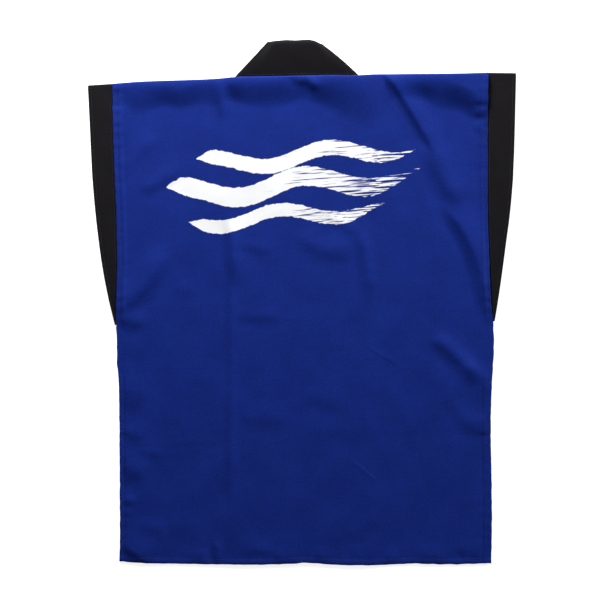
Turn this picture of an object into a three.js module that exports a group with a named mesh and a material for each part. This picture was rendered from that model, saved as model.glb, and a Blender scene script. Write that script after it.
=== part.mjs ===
// A sleeveless festival vest (jinbaori) laid flat, face down, with its back on top.
// Millimetres, +Z up. The origin is under the middle of the vest, on the surface it lies on.
// +Y runs from the hem to the collar and +X to the right as the back is seen from above.
// The two fronts and the collar's front runs lie on the surface, and the back panel lies on them.

import * as THREE from "three";

// Driving dimensions
const BODY_WALL = 1.2; // back and front panels
const ARM_BAND_WALL = 1.4; // doubled cloth
const COLLAR_WALL = 2.0; // doubled cloth with interfacing
const SEAM_GAP = 0.3;
const BODY_LENGTH = 784; // shoulder fold to hem
const COLLAR_WIDTH = 54; // of its front runs
const SHOULDER_ROLL_DEPTH = 3.5; // how far in the fold reaches its full height
const SHOULDER_CREST = 9; // how far in the puffed shoulder starts to sink
const SHOULDER_PUFF_LENGTH = 36; // how far in it has sunk flat again
const HIGHEST_CLOTH = 4.9; // middle of the wall at the tallest fold
const FRONT_INSET = 1.5; // the fronts' free edges lie this far inside the back's

// Heights of each layer's middle
const FRONT_Z = BODY_WALL / 2;
const BACK_Z = BODY_WALL * 1.5 + SEAM_GAP;
const COLLAR_LOW_Z = COLLAR_WALL / 2;
const COLLAR_HIGH_Z = COLLAR_WALL * 1.5 + SEAM_GAP;
const BACK_OVER_COLLAR_Z = COLLAR_WALL + SEAM_GAP + BODY_WALL / 2 + 0.1;
const ARM_BAND_LOW_Z = ARM_BAND_WALL / 2;
const ARM_BAND_HIGH_Z = ARM_BAND_WALL * 1.5 + SEAM_GAP;

// How finely the cloth is divided
const BACK_COLUMNS = 36;
const FRONT_COLUMNS = 6;
const ARM_BAND_COLUMNS = 3;
const ROLL_STEPS = 4; // rows round the outer quarter of the shoulder fold
const ROWS_ON_PUFF = [6.5, 10, 14, 18.5, 23.5, 29, 35.5]; // distances in from the shoulder fold
const UPPER_ROWS = { count: 24, end: 370 }; // where the large folds are
const LOWER_ROWS = 14;
const FRONT_LOWER_ROWS = 8; // below the armhole
const COLLAR_COLUMNS = 4;
const COLLAR_RUN_ROWS = 16;
const COLLAR_NECK_ROWS = 14;
const TURN_STEPS = 4; // rows round a folded edge

// Colours
const BLUE = 0x1f3a9e;
const BLACK = 0x1c1b1d;

// Shoulder fold of the back, from the left arm band to the right one
const SHOULDER_LINE = [
  { x: -303.0, y: 350.4 },
  { x: -268.8, y: 353.0 },
  { x: -230.4, y: 354.6 },
  { x: -179.2, y: 356.2 },
  { x: -140.8, y: 357.9 },
  { x: -104.0, y: 361.0 },
  { x: -50.0, y: 361.9 },
  { x: 5.0, y: 363.2 },
  { x: 54.0, y: 363.8 },
  { x: 88.0, y: 363.4 },
  { x: 115.2, y: 365.2 },
  { x: 204.8, y: 365.8 },
  { x: 256.0, y: 366.2 },
  { x: 297.3, y: 368.0 },
];

// Left arm band: the seam with the body and the band's outer edge, from the armhole's foot up
const LEFT_ARMHOLE = [
  { y: -36.0, seam: -297.2, outer: -299.4 },
  { y: -16.6, seam: -297.1, outer: -304.2 },
  { y: 4.2, seam: -297.1, outer: -309.3 },
  { y: 36.2, seam: -296.2, outer: -315.8 },
  { y: 68.2, seam: -295.5, outer: -321.3 },
  { y: 100.2, seam: -296.2, outer: -325.6 },
  { y: 132.2, seam: -296.6, outer: -329.4 },
  { y: 164.2, seam: -297.8, outer: -332.6 },
  { y: 204.2, seam: -299.6, outer: -335.8 },
  { y: 244.2, seam: -301.1, outer: -337.8 },
  { y: 292.2, seam: -302.7, outer: -340.0 },
  { y: 350.4, seam: -303.0, outer: -342.6, outerDrop: 2.6 },
];

// Right arm band, the same way
const RIGHT_ARMHOLE = [
  { y: -30.2, seam: 306.0, outer: 308.2 },
  { y: -15.0, seam: 304.0, outer: 310.9 },
  { y: 4.2, seam: 302.1, outer: 313.9 },
  { y: 36.2, seam: 300.5, outer: 318.7 },
  { y: 68.2, seam: 299.5, outer: 323.0 },
  { y: 100.2, seam: 298.4, outer: 327.2 },
  { y: 132.2, seam: 297.4, outer: 331.6 },
  { y: 164.2, seam: 297.1, outer: 335.0 },
  { y: 196.2, seam: 297.0, outer: 337.6 },
  { y: 244.2, seam: 297.0, outer: 339.6 },
  { y: 292.2, seam: 297.0, outer: 340.9 },
  { y: 368.0, seam: 297.3, outer: 342.6, outerDrop: 0.6 },
];

// Side edges from the hem up to the armhole: a slit, then a short side seam
const LEFT_SIDE = [
  { x: -292.3, y: -413.6 },
  { x: -291.2, y: -380.0 },
  { x: -291.6, y: -330.0 },
  { x: -291.8, y: -270.0 },
  { x: -292.2, y: -200.0 },
  { x: -292.8, y: -140.0 },
  { x: -293.4, y: -124.0 },
  { x: -295.4, y: -112.0 },
  { x: -296.2, y: -72.0 },
];
const RIGHT_SIDE = [
  { x: 302.7, y: -416.8 },
  { x: 303.6, y: -380.0 },
  { x: 303.8, y: -320.0 },
  { x: 302.8, y: -255.0 },
  { x: 301.9, y: -200.0 },
  { x: 303.0, y: -150.0 },
  { x: 303.9, y: -124.0 },
  { x: 305.6, y: -108.0 },
  { x: 307.2, y: -68.0 },
];

// Hem of the back, from left to right
const HEM_LINE = [
  { x: -292.3, y: -413.6 },
  { x: -264.0, y: -416.4 },
  { x: -200.0, y: -417.8 },
  { x: -128.0, y: -418.9 },
  { x: -64.0, y: -419.2 },
  { x: -25.6, y: -418.2 },
  { x: 8.0, y: -416.2 },
  { x: 44.8, y: -419.0 },
  { x: 100.0, y: -420.3 },
  { x: 148.8, y: -418.8 },
  { x: 179.2, y: -417.4 },
  { x: 230.0, y: -418.9 },
  { x: 302.7, y: -416.8 },
];

// Free upper edge of the collar's neck stretch, from left to right
const COLLAR_TOP = [
  { x: -53.2, y: 415.4 },
  { x: -40.0, y: 418.4 },
  { x: -25.6, y: 419.6 },
  { x: -10.0, y: 419.0 },
  { x: 9.6, y: 420.3 },
  { x: 18.0, y: 418.6 },
  { x: 27.4, y: 412.4 },
];

// Where the collar's seam passes under the shoulder fold, and how its front runs meet at the hem
const NECK_LEFT_X = -100.8;
const NECK_RIGHT_X = 84.4;
const CENTRE_FRONT_X = 3;
const CENTRE_FRONT_GAP = 5;

// Height of the puffed shoulder along the shoulder fold, above the flat cloth
const SHOULDER_PUFF = [
  { x: -303, height: 0.9 },
  { x: -262, height: 1.6 },
  { x: -220, height: 2.8 },
  { x: -165, height: 2.7 },
  { x: -128, height: 1.1 },
  { x: -100, height: 2.4 },
  { x: -30, height: 2.5 },
  { x: 25, height: 2.1 },
  { x: 100, height: 1.1 },
  { x: 150, height: 1.5 },
  { x: 190, height: 2.8 },
  { x: 270, height: 2.5 },
  { x: 297, height: 1.2 },
];

// The largest folds of the back, each a soft ridge along a bowed line through three places
const FOLDS = [
  { name: "shoulder blade", from: [139, 358], via: [163, 316], to: [198, 262], height: 3.0, width: 11 },
  { name: "shoulder blade end", from: [202, 258], via: [230, 214], to: [262, 177], height: 1.8, width: 11 },
  { name: "right armhole arc", from: [237, 142], via: [276, 84], to: [298, 4], height: 2.6, width: 11 },
  { name: "right flank", from: [208, -44], via: [247, -76], to: [296, -124], height: 3.0, width: 11 },
  { name: "left armhole arc", from: [-210, 107], via: [-242, 42], to: [-292, -3], height: 2.5, width: 12 },
  { name: "left armpit tuck", from: [-293, -21], via: [-274, -22], to: [-252, -25], height: 2.2, width: 9 },
  { name: "left chest, upper", from: [-272, 219], via: [-237, 257], to: [-176, 260], height: 1.3, width: 12 },
  { name: "left chest, lower", from: [-256, 177], via: [-236, 200], to: [-210, 219], height: 1.3, width: 10 },
  { name: "middle back cup", from: [8, 126], via: [32, 95], to: [88, 95], height: 1.6, width: 11 },
  { name: "middle back drop", from: [96, 118], via: [112, 74], to: [115, 4], height: 1.1, width: 11 },
  { name: "left of middle", from: [-135, 124], via: [-130, 84], to: [-121, 42], height: 1.4, width: 10 },
  { name: "shoulder drop", from: [-131, 350], via: [-128, 322], to: [-125, 288], height: 1.3, width: 10 },
  { name: "nape pinch", from: [2, 352], via: [18, 346], to: [40, 334], height: 2.0, width: 8 },
  { name: "right side, low", from: [250, -188], via: [274, -191], to: [300, -196], height: 1.8, width: 10 },
  { name: "left side, low", from: [-291, -128], via: [-274, -126], to: [-250, -140], height: 1.4, width: 11 },
  { name: "left corner", from: [-286, -346], via: [-268, -366], to: [-246, -398], height: 1.5, width: 11 },
];
const FOLD_SAMPLES = 12;
const FOLD_TAPER = 0.28; // share of a fold's length over which it rises from nothing
const FOLD_OVERRUN = 0.05; // a fold's ends aren't cut off square
const EDGE_CALM = 10; // folds sink towards the panel's side edges over this distance

const mix = THREE.MathUtils.lerp;
const smooth = THREE.MathUtils.smoothstep;

// A smooth curve through a table's rows
function curveThrough(rows) {
  const points = rows.map((row) => new THREE.Vector3(row.x, row.y, 0));
  return new THREE.CatmullRomCurve3(points, false, "centripetal");
}

// A table's column read between its rows
function readTable(rows, key, at, column) {
  let i = 0;
  while (i < rows.length - 2 && at > rows[i + 1][key]) i += 1;
  const share = THREE.MathUtils.clamp((at - rows[i][key]) / (rows[i + 1][key] - rows[i][key]), 0, 1);
  return mix(rows[i][column], rows[i + 1][column], share);
}

// Where an armhole's seam and the side edge below it run, from the hem up
function sideCurve(side, armhole) {
  return curveThrough([...side, ...armhole.map((row) => ({ x: row.seam, y: row.y }))]);
}

const shoulderCurve = curveThrough(SHOULDER_LINE);
const hemCurve = curveThrough(HEM_LINE);
const collarTopCurve = curveThrough(COLLAR_TOP);
const shoulderY = (x) => readTable(SHOULDER_LINE, "x", x, "y");
const hemY = (x) => readTable(HEM_LINE, "x", x, "y");

// The two sides of the vest: which way is outward, its side edge, and where its neck seam is
const LEFT = {
  outward: -1,
  curve: sideCurve(LEFT_SIDE, LEFT_ARMHOLE),
  armhole: LEFT_ARMHOLE,
};
const RIGHT = {
  outward: 1,
  curve: sideCurve(RIGHT_SIDE, RIGHT_ARMHOLE),
  armhole: RIGHT_ARMHOLE,
};
const BACK_WIDTH = RIGHT.curve.getPointAt(0.5).x - LEFT.curve.getPointAt(0.5).x;

// A closed wall of cloth. middle(i, k) gives the middle of the wall at column i and row k, and
// columns, rows and the way out of the wall follow the right-hand rule.
function clothWall(name, material, columns, rows, wall, middle) {
  const geometry = new THREE.BoxGeometry(1, 1, 1, columns, rows, 1);
  const position = geometry.attributes.position;
  const step = 0.02;
  const slope = (from, to) => middle(...to).sub(middle(...from));
  for (let n = 0; n < position.count; n += 1) {
    const i = Math.round((position.getX(n) + 0.5) * columns);
    const k = Math.round((position.getY(n) + 0.5) * rows);
    const side = Math.sign(position.getZ(n));
    const across = slope([Math.max(i - step, 0), k], [Math.min(i + step, columns), k]);
    const along = slope([i, Math.max(k - step, 0)], [i, Math.min(k + step, rows)]);
    const out = across.cross(along).normalize();
    const point = middle(i, k).addScaledVector(out, (side * wall) / 2);
    position.setXYZ(n, point.x, point.y, point.z);
  }
  geometry.deleteAttribute("normal");
  geometry.deleteAttribute("uv");
  geometry.computeVertexNormals();
  const mesh = new THREE.Mesh(geometry, material);
  mesh.name = name;
  return mesh;
}

// A point of the sheet that is stretched between four edges: u from left to right, v from the hem up
function stretched(edges, u, v) {
  const { left, right, bottom, top } = edges;
  const across = left(v).multiplyScalar(1 - u).add(right(v).multiplyScalar(u));
  const along = bottom(u).multiplyScalar(1 - v).add(top(u).multiplyScalar(v));
  const low = left(0).lerp(right(0), u).multiplyScalar(1 - v);
  const high = left(1).lerp(right(1), u).multiplyScalar(v);
  return across.add(along).sub(low).sub(high);
}

// How far in from the shoulder fold the quarter turn is at a row, which may lie between two
const turnDistance = (row) => SHOULDER_ROLL_DEPTH * (1 - Math.cos((row / ROLL_STEPS) * (Math.PI / 2)));

// How far up that quarter turn the cloth is at a distance in from the fold, 0 to 1
function turnHeight(distance) {
  const share = Math.min(distance / SHOULDER_ROLL_DEPTH, 1);
  return Math.sqrt(Math.max(0, 1 - (1 - share) ** 2));
}

// A panel's rows as distances in from the shoulder fold. Each stretch is rows to even out up to an end.
function rowDistances(singleRows, stretches) {
  const rows = [];
  for (let n = 0; n <= ROLL_STEPS; n += 1) rows.push(turnDistance(n));
  rows.push(...singleRows);
  stretches.forEach(({ count, end }) => {
    const start = rows[rows.length - 1];
    for (let n = 1; n <= count; n += 1) rows.push(mix(start, end, n / count));
  });
  return rows;
}

// The distance in at a row, which may lie between two
function distanceAt(rows, row) {
  if (row <= ROLL_STEPS) return turnDistance(row);
  const whole = Math.min(Math.floor(row), rows.length - 2);
  return mix(rows[whole], rows[whole + 1], row - whole);
}

// The back lies on the fronts, and a little higher where the collar runs under it
function backRestZ(x) {
  const pastLeft = smooth(x, NECK_LEFT_X - 50, NECK_LEFT_X - 12);
  const beforeRight = 1 - smooth(x, NECK_RIGHT_X + 12, NECK_RIGHT_X + 50);
  return mix(BACK_Z, BACK_OVER_COLLAR_Z, pastLeft * beforeRight);
}

// The height of the puffed shoulder, and that at which back and front meet on the shoulder fold
const puffTop = (x) => Math.min(backRestZ(x) + readTable(SHOULDER_PUFF, "x", x, "height"), HIGHEST_CLOTH);
const foldMiddle = (x) => (puffTop(x) + FRONT_Z) / 2;

// Each fold as a line of points
const foldLines = FOLDS.map((fold) => {
  const from = new THREE.Vector2(...fold.from);
  const to = new THREE.Vector2(...fold.to);
  const halfway = from.clone().lerp(to, 0.5);
  const control = new THREE.Vector2(...fold.via).multiplyScalar(2).sub(halfway);
  const points = new THREE.QuadraticBezierCurve(from, control, to).getPoints(FOLD_SAMPLES);
  return { ...fold, points };
});

// Height that one fold adds at a place
function foldHeight(fold, place) {
  let nearest = Infinity;
  let share = 0;
  for (let n = 0; n < FOLD_SAMPLES; n += 1) {
    const start = fold.points[n];
    const run = fold.points[n + 1].clone().sub(start);
    const t = THREE.MathUtils.clamp(place.clone().sub(start).dot(run) / run.lengthSq(), 0, 1);
    const distance = start.clone().addScaledVector(run, t).distanceTo(place);
    if (distance < nearest) {
      nearest = distance;
      share = (n + t) / FOLD_SAMPLES;
    }
  }
  const rise = smooth(share, -FOLD_OVERRUN, FOLD_TAPER);
  const fall = 1 - smooth(share, 1 - FOLD_TAPER, 1 + FOLD_OVERRUN);
  return fold.height * rise * fall * Math.exp(-((nearest / fold.width) ** 2));
}

// Height that all the folds add to the back
function foldsAt(point) {
  const place = new THREE.Vector2(point.x, point.y);
  return foldLines.reduce((sum, fold) => sum + foldHeight(fold, place), 0);
}

// Back panel: one piece from the shoulder fold to the hem, between the two arm bands
function makeBack(material) {
  const distances = rowDistances(ROWS_ON_PUFF, [UPPER_ROWS, { count: LOWER_ROWS, end: BODY_LENGTH }]);
  const rows = distances.length - 1;
  const seamInset = new THREE.Vector3(SEAM_GAP / 2, 0, 0);
  const edges = {
    left: (v) => LEFT.curve.getPointAt(v).add(seamInset),
    right: (v) => RIGHT.curve.getPointAt(v).sub(seamInset),
    bottom: (u) => hemCurve.getPointAt(u),
    top: (u) => shoulderCurve.getPointAt(u),
  };
  const middle = (i, k) => {
    const distance = distanceAt(distances, rows - k);
    const u = i / BACK_COLUMNS;
    const v = 1 - distance / BODY_LENGTH;
    const point = stretched(edges, u, v);
    const sunk = smooth(distance, SHOULDER_CREST, SHOULDER_PUFF_LENGTH);
    const surface = mix(puffTop(point.x), backRestZ(point.x), sunk);
    const calm = smooth(Math.min(u, 1 - u) * BACK_WIDTH, -EDGE_CALM / 2, EDGE_CALM);
    const folded = Math.min(surface + foldsAt(point) * calm, HIGHEST_CLOTH);
    point.z = mix(foldMiddle(point.x) + SEAM_GAP / 2, folded, turnHeight(distance));
    point.y -= (BODY_WALL / 2) * v;
    return point;
  };
  return clothWall("back", material, BACK_COLUMNS, rows, BODY_WALL, middle);
}

// The neck seam between the collar and the body, t from left to right
function neckSeam(t) {
  const x = mix(NECK_LEFT_X, NECK_RIGHT_X, t);
  return new THREE.Vector3(x, shoulderY(x) + SEAM_GAP, COLLAR_HIGH_Z);
}

// The seam and free edge of one of the collar's front runs, t from the hem to the neck
function collarRun(side, t) {
  const end = side === LEFT ? 0 : 1;
  const centreX = CENTRE_FRONT_X + (side.outward * CENTRE_FRONT_GAP) / 2;
  const free = new THREE.Vector3(centreX, hemY(CENTRE_FRONT_X) + FRONT_INSET, COLLAR_LOW_Z);
  const seam = free.clone().setX(centreX + side.outward * COLLAR_WIDTH);
  free.lerp(collarTopCurve.getPointAt(end).setZ(COLLAR_LOW_Z), t);
  seam.lerp(neckSeam(end).setZ(COLLAR_LOW_Z), t);
  return { seam, free };
}

// Front panel: from the shoulder fold to the hem, between an arm band and the collar's front run
function makeFront(name, material, side) {
  const foldY = side.armhole.at(-1).y;
  const besideArmhole = side.armhole.slice(0, -1).reverse().map((row) => foldY - row.y);
  const distances = rowDistances(besideArmhole, [{ count: FRONT_LOWER_ROWS, end: BODY_LENGTH }]);
  const rows = distances.length - 1;
  const footY = side.armhole[0].y;
  const flank = (v) => {
    const point = side.curve.getPointAt(v);
    const belowArmhole = 1 - smooth(point.y, footY - 12, footY);
    point.x -= side.outward * mix(SEAM_GAP / 2, FRONT_INSET, belowArmhole);
    point.y += FRONT_INSET * (1 - v);
    return point;
  };
  const opening = (v) => {
    const point = collarRun(side, v).seam;
    point.x += side.outward * SEAM_GAP;
    point.y -= SEAM_GAP * v;
    return point.setZ(0);
  };
  const left = side === LEFT ? flank : opening;
  const right = side === LEFT ? opening : flank;
  const bottom = (u) => {
    const x = mix(left(0).x, right(0).x, u);
    return new THREE.Vector3(x, hemY(x) + FRONT_INSET, 0);
  };
  const top = (u) => {
    const x = mix(left(1).x, right(1).x, u);
    return new THREE.Vector3(x, shoulderY(x), 0);
  };
  const middle = (i, k) => {
    const distance = distanceAt(distances, rows - k);
    const v = 1 - distance / BODY_LENGTH;
    const point = stretched({ left, right, bottom, top }, i / FRONT_COLUMNS, v);
    point.z = mix(foldMiddle(point.x) - SEAM_GAP / 2, FRONT_Z, turnHeight(distance));
    point.y -= (BODY_WALL / 2) * v;
    return point;
  };
  return clothWall(name, material, FRONT_COLUMNS, rows, BODY_WALL, middle);
}

// Arm band: from the armhole's foot up the back, over the shoulder and down the front
function makeArmBand(name, material, side) {
  const { armhole, outward } = side;
  const turnRadius = (ARM_BAND_HIGH_Z - ARM_BAND_LOW_Z) / 2;
  const foldReach = turnRadius + ARM_BAND_WALL / 2;
  const lastRow = armhole.length - 1;
  const rows = 2 * lastRow + TURN_STEPS;
  const middle = (i, k) => {
    const turn = THREE.MathUtils.clamp((k - lastRow) / TURN_STEPS, 0, 1);
    const level = Math.min(k, lastRow, rows - k);
    const whole = Math.min(Math.floor(level), lastRow - 1);
    const at = (column) => mix(armhole[whole][column] ?? 0, armhole[whole + 1][column] ?? 0, level - whole);
    const across = side === LEFT ? 1 - i / ARM_BAND_COLUMNS : i / ARM_BAND_COLUMNS;
    const seam = at("seam") + (outward * SEAM_GAP) / 2;
    const outer = at("outer") - (outward * turn * FRONT_INSET) / 2;
    const nearFold = Math.max(level - lastRow + 1, 0);
    const angle = turn * Math.PI;
    return new THREE.Vector3(
      mix(seam, outer, across),
      at("y") - at("outerDrop") * across - foldReach * nearFold + turnRadius * Math.sin(angle),
      (ARM_BAND_HIGH_Z + ARM_BAND_LOW_Z) / 2 + turnRadius * Math.cos(angle),
    );
  };
  return clothWall(name, material, ARM_BAND_COLUMNS, rows, ARM_BAND_WALL, middle);
}

// The collar's turn about its slanting folded edge: 0 in the front run's layer, 1 in the nape's
function collarTurn(side, turn) {
  const end = side === LEFT ? 0 : 1;
  const turnRadius = (COLLAR_HIGH_Z - COLLAR_LOW_Z) / 2;
  const seam = neckSeam(end);
  const free = collarTopCurve.getPointAt(end);
  const outward = new THREE.Vector3(seam.y - free.y, free.x - seam.x, 0).normalize();
  outward.multiplyScalar(-side.outward * turnRadius * Math.sin(turn * Math.PI));
  const z = COLLAR_LOW_Z + turnRadius * (1 - Math.cos(turn * Math.PI));
  return { seam: seam.add(outward).setZ(z), free: free.add(outward).setZ(z) };
}

// Collar: one long band, up one front, folded at the neck, across the nape and down the other front
function makeCollar(material) {
  const nape = (t) => ({ seam: neckSeam(t), free: collarTopCurve.getPointAt(t).setZ(COLLAR_HIGH_Z) });
  const stretches = [
    { rows: COLLAR_RUN_ROWS, at: (t) => collarRun(LEFT, t) },
    { rows: TURN_STEPS, at: (t) => collarTurn(LEFT, t) },
    { rows: COLLAR_NECK_ROWS, at: nape },
    { rows: TURN_STEPS, at: (t) => collarTurn(RIGHT, 1 - t) },
    { rows: COLLAR_RUN_ROWS, at: (t) => collarRun(RIGHT, 1 - t) },
  ];
  const rows = stretches.reduce((sum, stretch) => sum + stretch.rows, 0);
  const middle = (i, k) => {
    let start = 0;
    let n = 0;
    while (k > start + stretches[n].rows) {
      start += stretches[n].rows;
      n += 1;
    }
    const { seam, free } = stretches[n].at((k - start) / stretches[n].rows);
    return free.lerp(seam, i / COLLAR_COLUMNS);
  };
  return clothWall("collar", material, COLLAR_COLUMNS, rows, COLLAR_WALL, middle);
}

const blueTwill = new THREE.MeshStandardMaterial({ color: BLUE, roughness: 0.75, metalness: 0 });
const blackTwill = new THREE.MeshStandardMaterial({ color: BLACK, roughness: 0.85, metalness: 0 });

const vest = new THREE.Group();
vest.add(
  makeBack(blueTwill),
  makeFront("front_left", blueTwill, LEFT),
  makeFront("front_right", blueTwill, RIGHT),
  makeArmBand("arm_band_left", blackTwill, LEFT),
  makeArmBand("arm_band_right", blackTwill, RIGHT),
  makeCollar(blackTwill),
);

export default vest;
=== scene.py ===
"""A sleeveless festival vest (jinbaori) of polyester twill, laid flat on a pale surface with its back up.

Lengths are in millimetres in the classes and in metres in the meshes. +X is to the right of the back
as it is seen from above, +Y runs from the hem to the collar, and +Z is up.
"""

import logging
import math
from dataclasses import dataclass, field, replace
from enum import Enum
from typing import Any, Sequence

import bmesh
import bpy
import numpy as np
from mathutils import Matrix, Vector
from mathutils.bvhtree import BVHTree

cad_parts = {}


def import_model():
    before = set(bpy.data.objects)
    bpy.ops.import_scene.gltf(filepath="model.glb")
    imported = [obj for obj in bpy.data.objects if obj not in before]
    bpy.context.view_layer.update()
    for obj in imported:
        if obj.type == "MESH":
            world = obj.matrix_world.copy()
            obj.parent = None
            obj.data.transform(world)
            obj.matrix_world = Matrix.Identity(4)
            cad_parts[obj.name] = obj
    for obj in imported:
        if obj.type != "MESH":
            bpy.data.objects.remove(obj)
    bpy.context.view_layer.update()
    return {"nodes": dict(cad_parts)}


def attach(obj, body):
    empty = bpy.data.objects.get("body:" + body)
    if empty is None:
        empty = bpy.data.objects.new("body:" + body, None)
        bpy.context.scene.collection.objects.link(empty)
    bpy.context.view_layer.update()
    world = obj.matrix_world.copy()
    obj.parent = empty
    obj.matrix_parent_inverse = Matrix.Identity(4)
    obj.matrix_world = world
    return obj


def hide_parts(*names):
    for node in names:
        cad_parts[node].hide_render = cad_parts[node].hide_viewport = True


LOG = logging.getLogger("vest")
MM = 0.001  # metres in a millimetre
ROOT_BODY = "root"
CLOTH_UV = "cloth"  # a UV map in metres of flat cloth
MATH = "ShaderNodeMath"


class Axis(Enum):
    """An axis of the plan, seen from above."""

    X = 0
    Y = 1


class Side(Enum):
    """A side of the vest, as the way outward along X."""

    LEFT = -1
    RIGHT = 1


class Thread(Enum):
    """The sewing threads, by the cloth that they match."""

    BLUE = "blue_thread"
    BLACK = "black_thread"


class Slot(Enum):
    """The record's material slots."""

    BLUE = "blue_twill"
    BLACK = "black_twill"


def ease(value: np.ndarray, start: float, end: float) -> np.ndarray:
    """Rises smoothly from 0 to 1.

    Args:
        value: Where to read the rise.
        start: Where it leaves 0.
        end: Where it reaches 1.

    Returns:
        The rise at each value.
    """
    share = np.clip((value - start) / (end - start), 0.0, 1.0)
    return share * share * (3.0 - 2.0 * share)


def mix(low: Any, high: Any, share: Any) -> Any:
    """Blends two values or arrays."""
    return low * (1.0 - share) + high * share


def graded(
    length: float,
    coarse: float,
    fine: Sequence[tuple[float, float]],
    zones: Sequence[tuple[float, float, float]] = (),
    growth: float = 0.28,
) -> np.ndarray:
    """Spaces grid lines along a length, closer together near the places that need it.

    Args:
        length: The length to divide.
        coarse: The widest spacing.
        fine: Places and the spacing wanted at each.
        zones: Stretches, from where to where, and the spacing wanted within each.
        growth: How fast the spacing grows with the distance from such a place or zone.

    Returns:
        Places from 0 to the length.
    """
    stretches = [(at, at, spacing) for at, spacing in fine] + list(zones)
    places = [0.0]
    while places[-1] < length:
        here = places[-1]
        wanted = [step + growth * max(first - here, here - last, 0.0) for first, last, step in stretches]
        places.append(here + min([coarse] + wanted))
    return np.array(places) * (length / places[-1])


def blur_weights(reach: int, softness: float) -> np.ndarray:
    """Works out the weights of a running average.

    Args:
        reach: How many steps it reaches to each side.
        softness: Over how many steps it fades.

    Returns:
        The weights, which add up to 1.
    """
    weights = np.exp(-((np.arange(-reach, reach + 1) / softness) ** 2))
    return weights / weights.sum()


class Ripples:
    """Soft, uneven waviness made of a few sine waves that don't repeat on the vest."""

    def __init__(self, seed: int, shortest: float, longest: float, count: int = 9) -> None:
        """Draws the waves.

        Args:
            seed: Fixes the draw.
            shortest: The shortest wavelength.
            longest: The longest wavelength.
            count: How many waves there are.
        """
        draw = np.random.default_rng(seed)
        angle = draw.uniform(0.0, math.pi, count)
        wavelength = draw.uniform(shortest, longest, count)
        self.along_x = 2.0 * math.pi * np.cos(angle) / wavelength
        self.along_y = 2.0 * math.pi * np.sin(angle) / wavelength
        self.phase = draw.uniform(0.0, 2.0 * math.pi, count)

    def at(self, x: np.ndarray, y: np.ndarray) -> np.ndarray:
        """Reads the waviness at some places.

        Args:
            x: Places along X.
            y: Places along Y.

        Returns:
            The waviness at each place, mostly within -1 to 1.
        """
        total = np.zeros(np.broadcast(x, y).shape)
        for step_x, step_y, phase in zip(self.along_x, self.along_y, self.phase):
            total += np.sin(x * step_x + y * step_y + phase)
        return total / math.sqrt(2.0 * len(self.phase))


@dataclass(frozen=True)
class Crease:
    """One soft ridge in the cloth, along a bowed line. Its lit side is left of its direction.

    A crease runs left to right, or downwards, so that its steeper lee faces the hem.
    """

    start: tuple[float, float]
    via: tuple[float, float]
    end: tuple[float, float]
    height: float
    lit: float  # reach of the gentle flank
    lee: float  # reach of the steep flank
    trough: float = 0.22  # depth of the trough beyond the lee, as a share of the height
    taper: float = 0.3  # share of the length over which each end fades
    samples: int = 14
    trough_place: float = 2.1  # middle of the trough, in reaches of the lee
    overrun: float = 0.04  # share of the length by which it rises before its start and falls after its end

    def line(self) -> np.ndarray:
        """Works out the points of the bowed line.

        Returns:
            Plan places, from the start to the end.
        """
        start, via, end = (np.array(place) for place in (self.start, self.via, self.end))
        control = 2.0 * via - (start + end) / 2.0
        t = np.linspace(0.0, 1.0, self.samples + 1)[:, None]
        return (1 - t) ** 2 * start + 2 * t * (1 - t) * control + t**2 * end

    def height_at(self, x: np.ndarray, y: np.ndarray) -> np.ndarray:
        """Works out what the crease adds to the cloth's height.

        Args:
            x: Places along X.
            y: Places along Y.

        Returns:
            The height of the ridge at each place.
        """
        points = self.line()
        nearest = np.full(x.shape, np.inf)
        share = np.zeros(x.shape)
        signed = np.zeros(x.shape)
        for n in range(self.samples):
            run = points[n + 1] - points[n]
            off_x, off_y = x - points[n][0], y - points[n][1]
            t = np.clip((off_x * run[0] + off_y * run[1]) / run.dot(run), 0.0, 1.0)
            distance = np.hypot(off_x - t * run[0], off_y - t * run[1])
            closer = distance < nearest
            nearest = np.where(closer, distance, nearest)
            share = np.where(closer, (n + t) / self.samples, share)
            signed = np.where(closer, run[0] * off_y - run[1] * off_x, signed)
        offset = np.where(signed > 0, nearest / self.lit, -nearest / self.lee)
        rise = ease(share, -self.overrun, self.taper)
        fall = ease(share, 1.0 - self.taper, 1.0 + self.overrun)
        ends = rise * (1.0 - fall)
        ridge = np.exp(-(offset**2))
        trough = self.trough * np.exp(-((offset + self.trough_place) ** 2))
        return self.height * ends * (ridge - trough)


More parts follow.
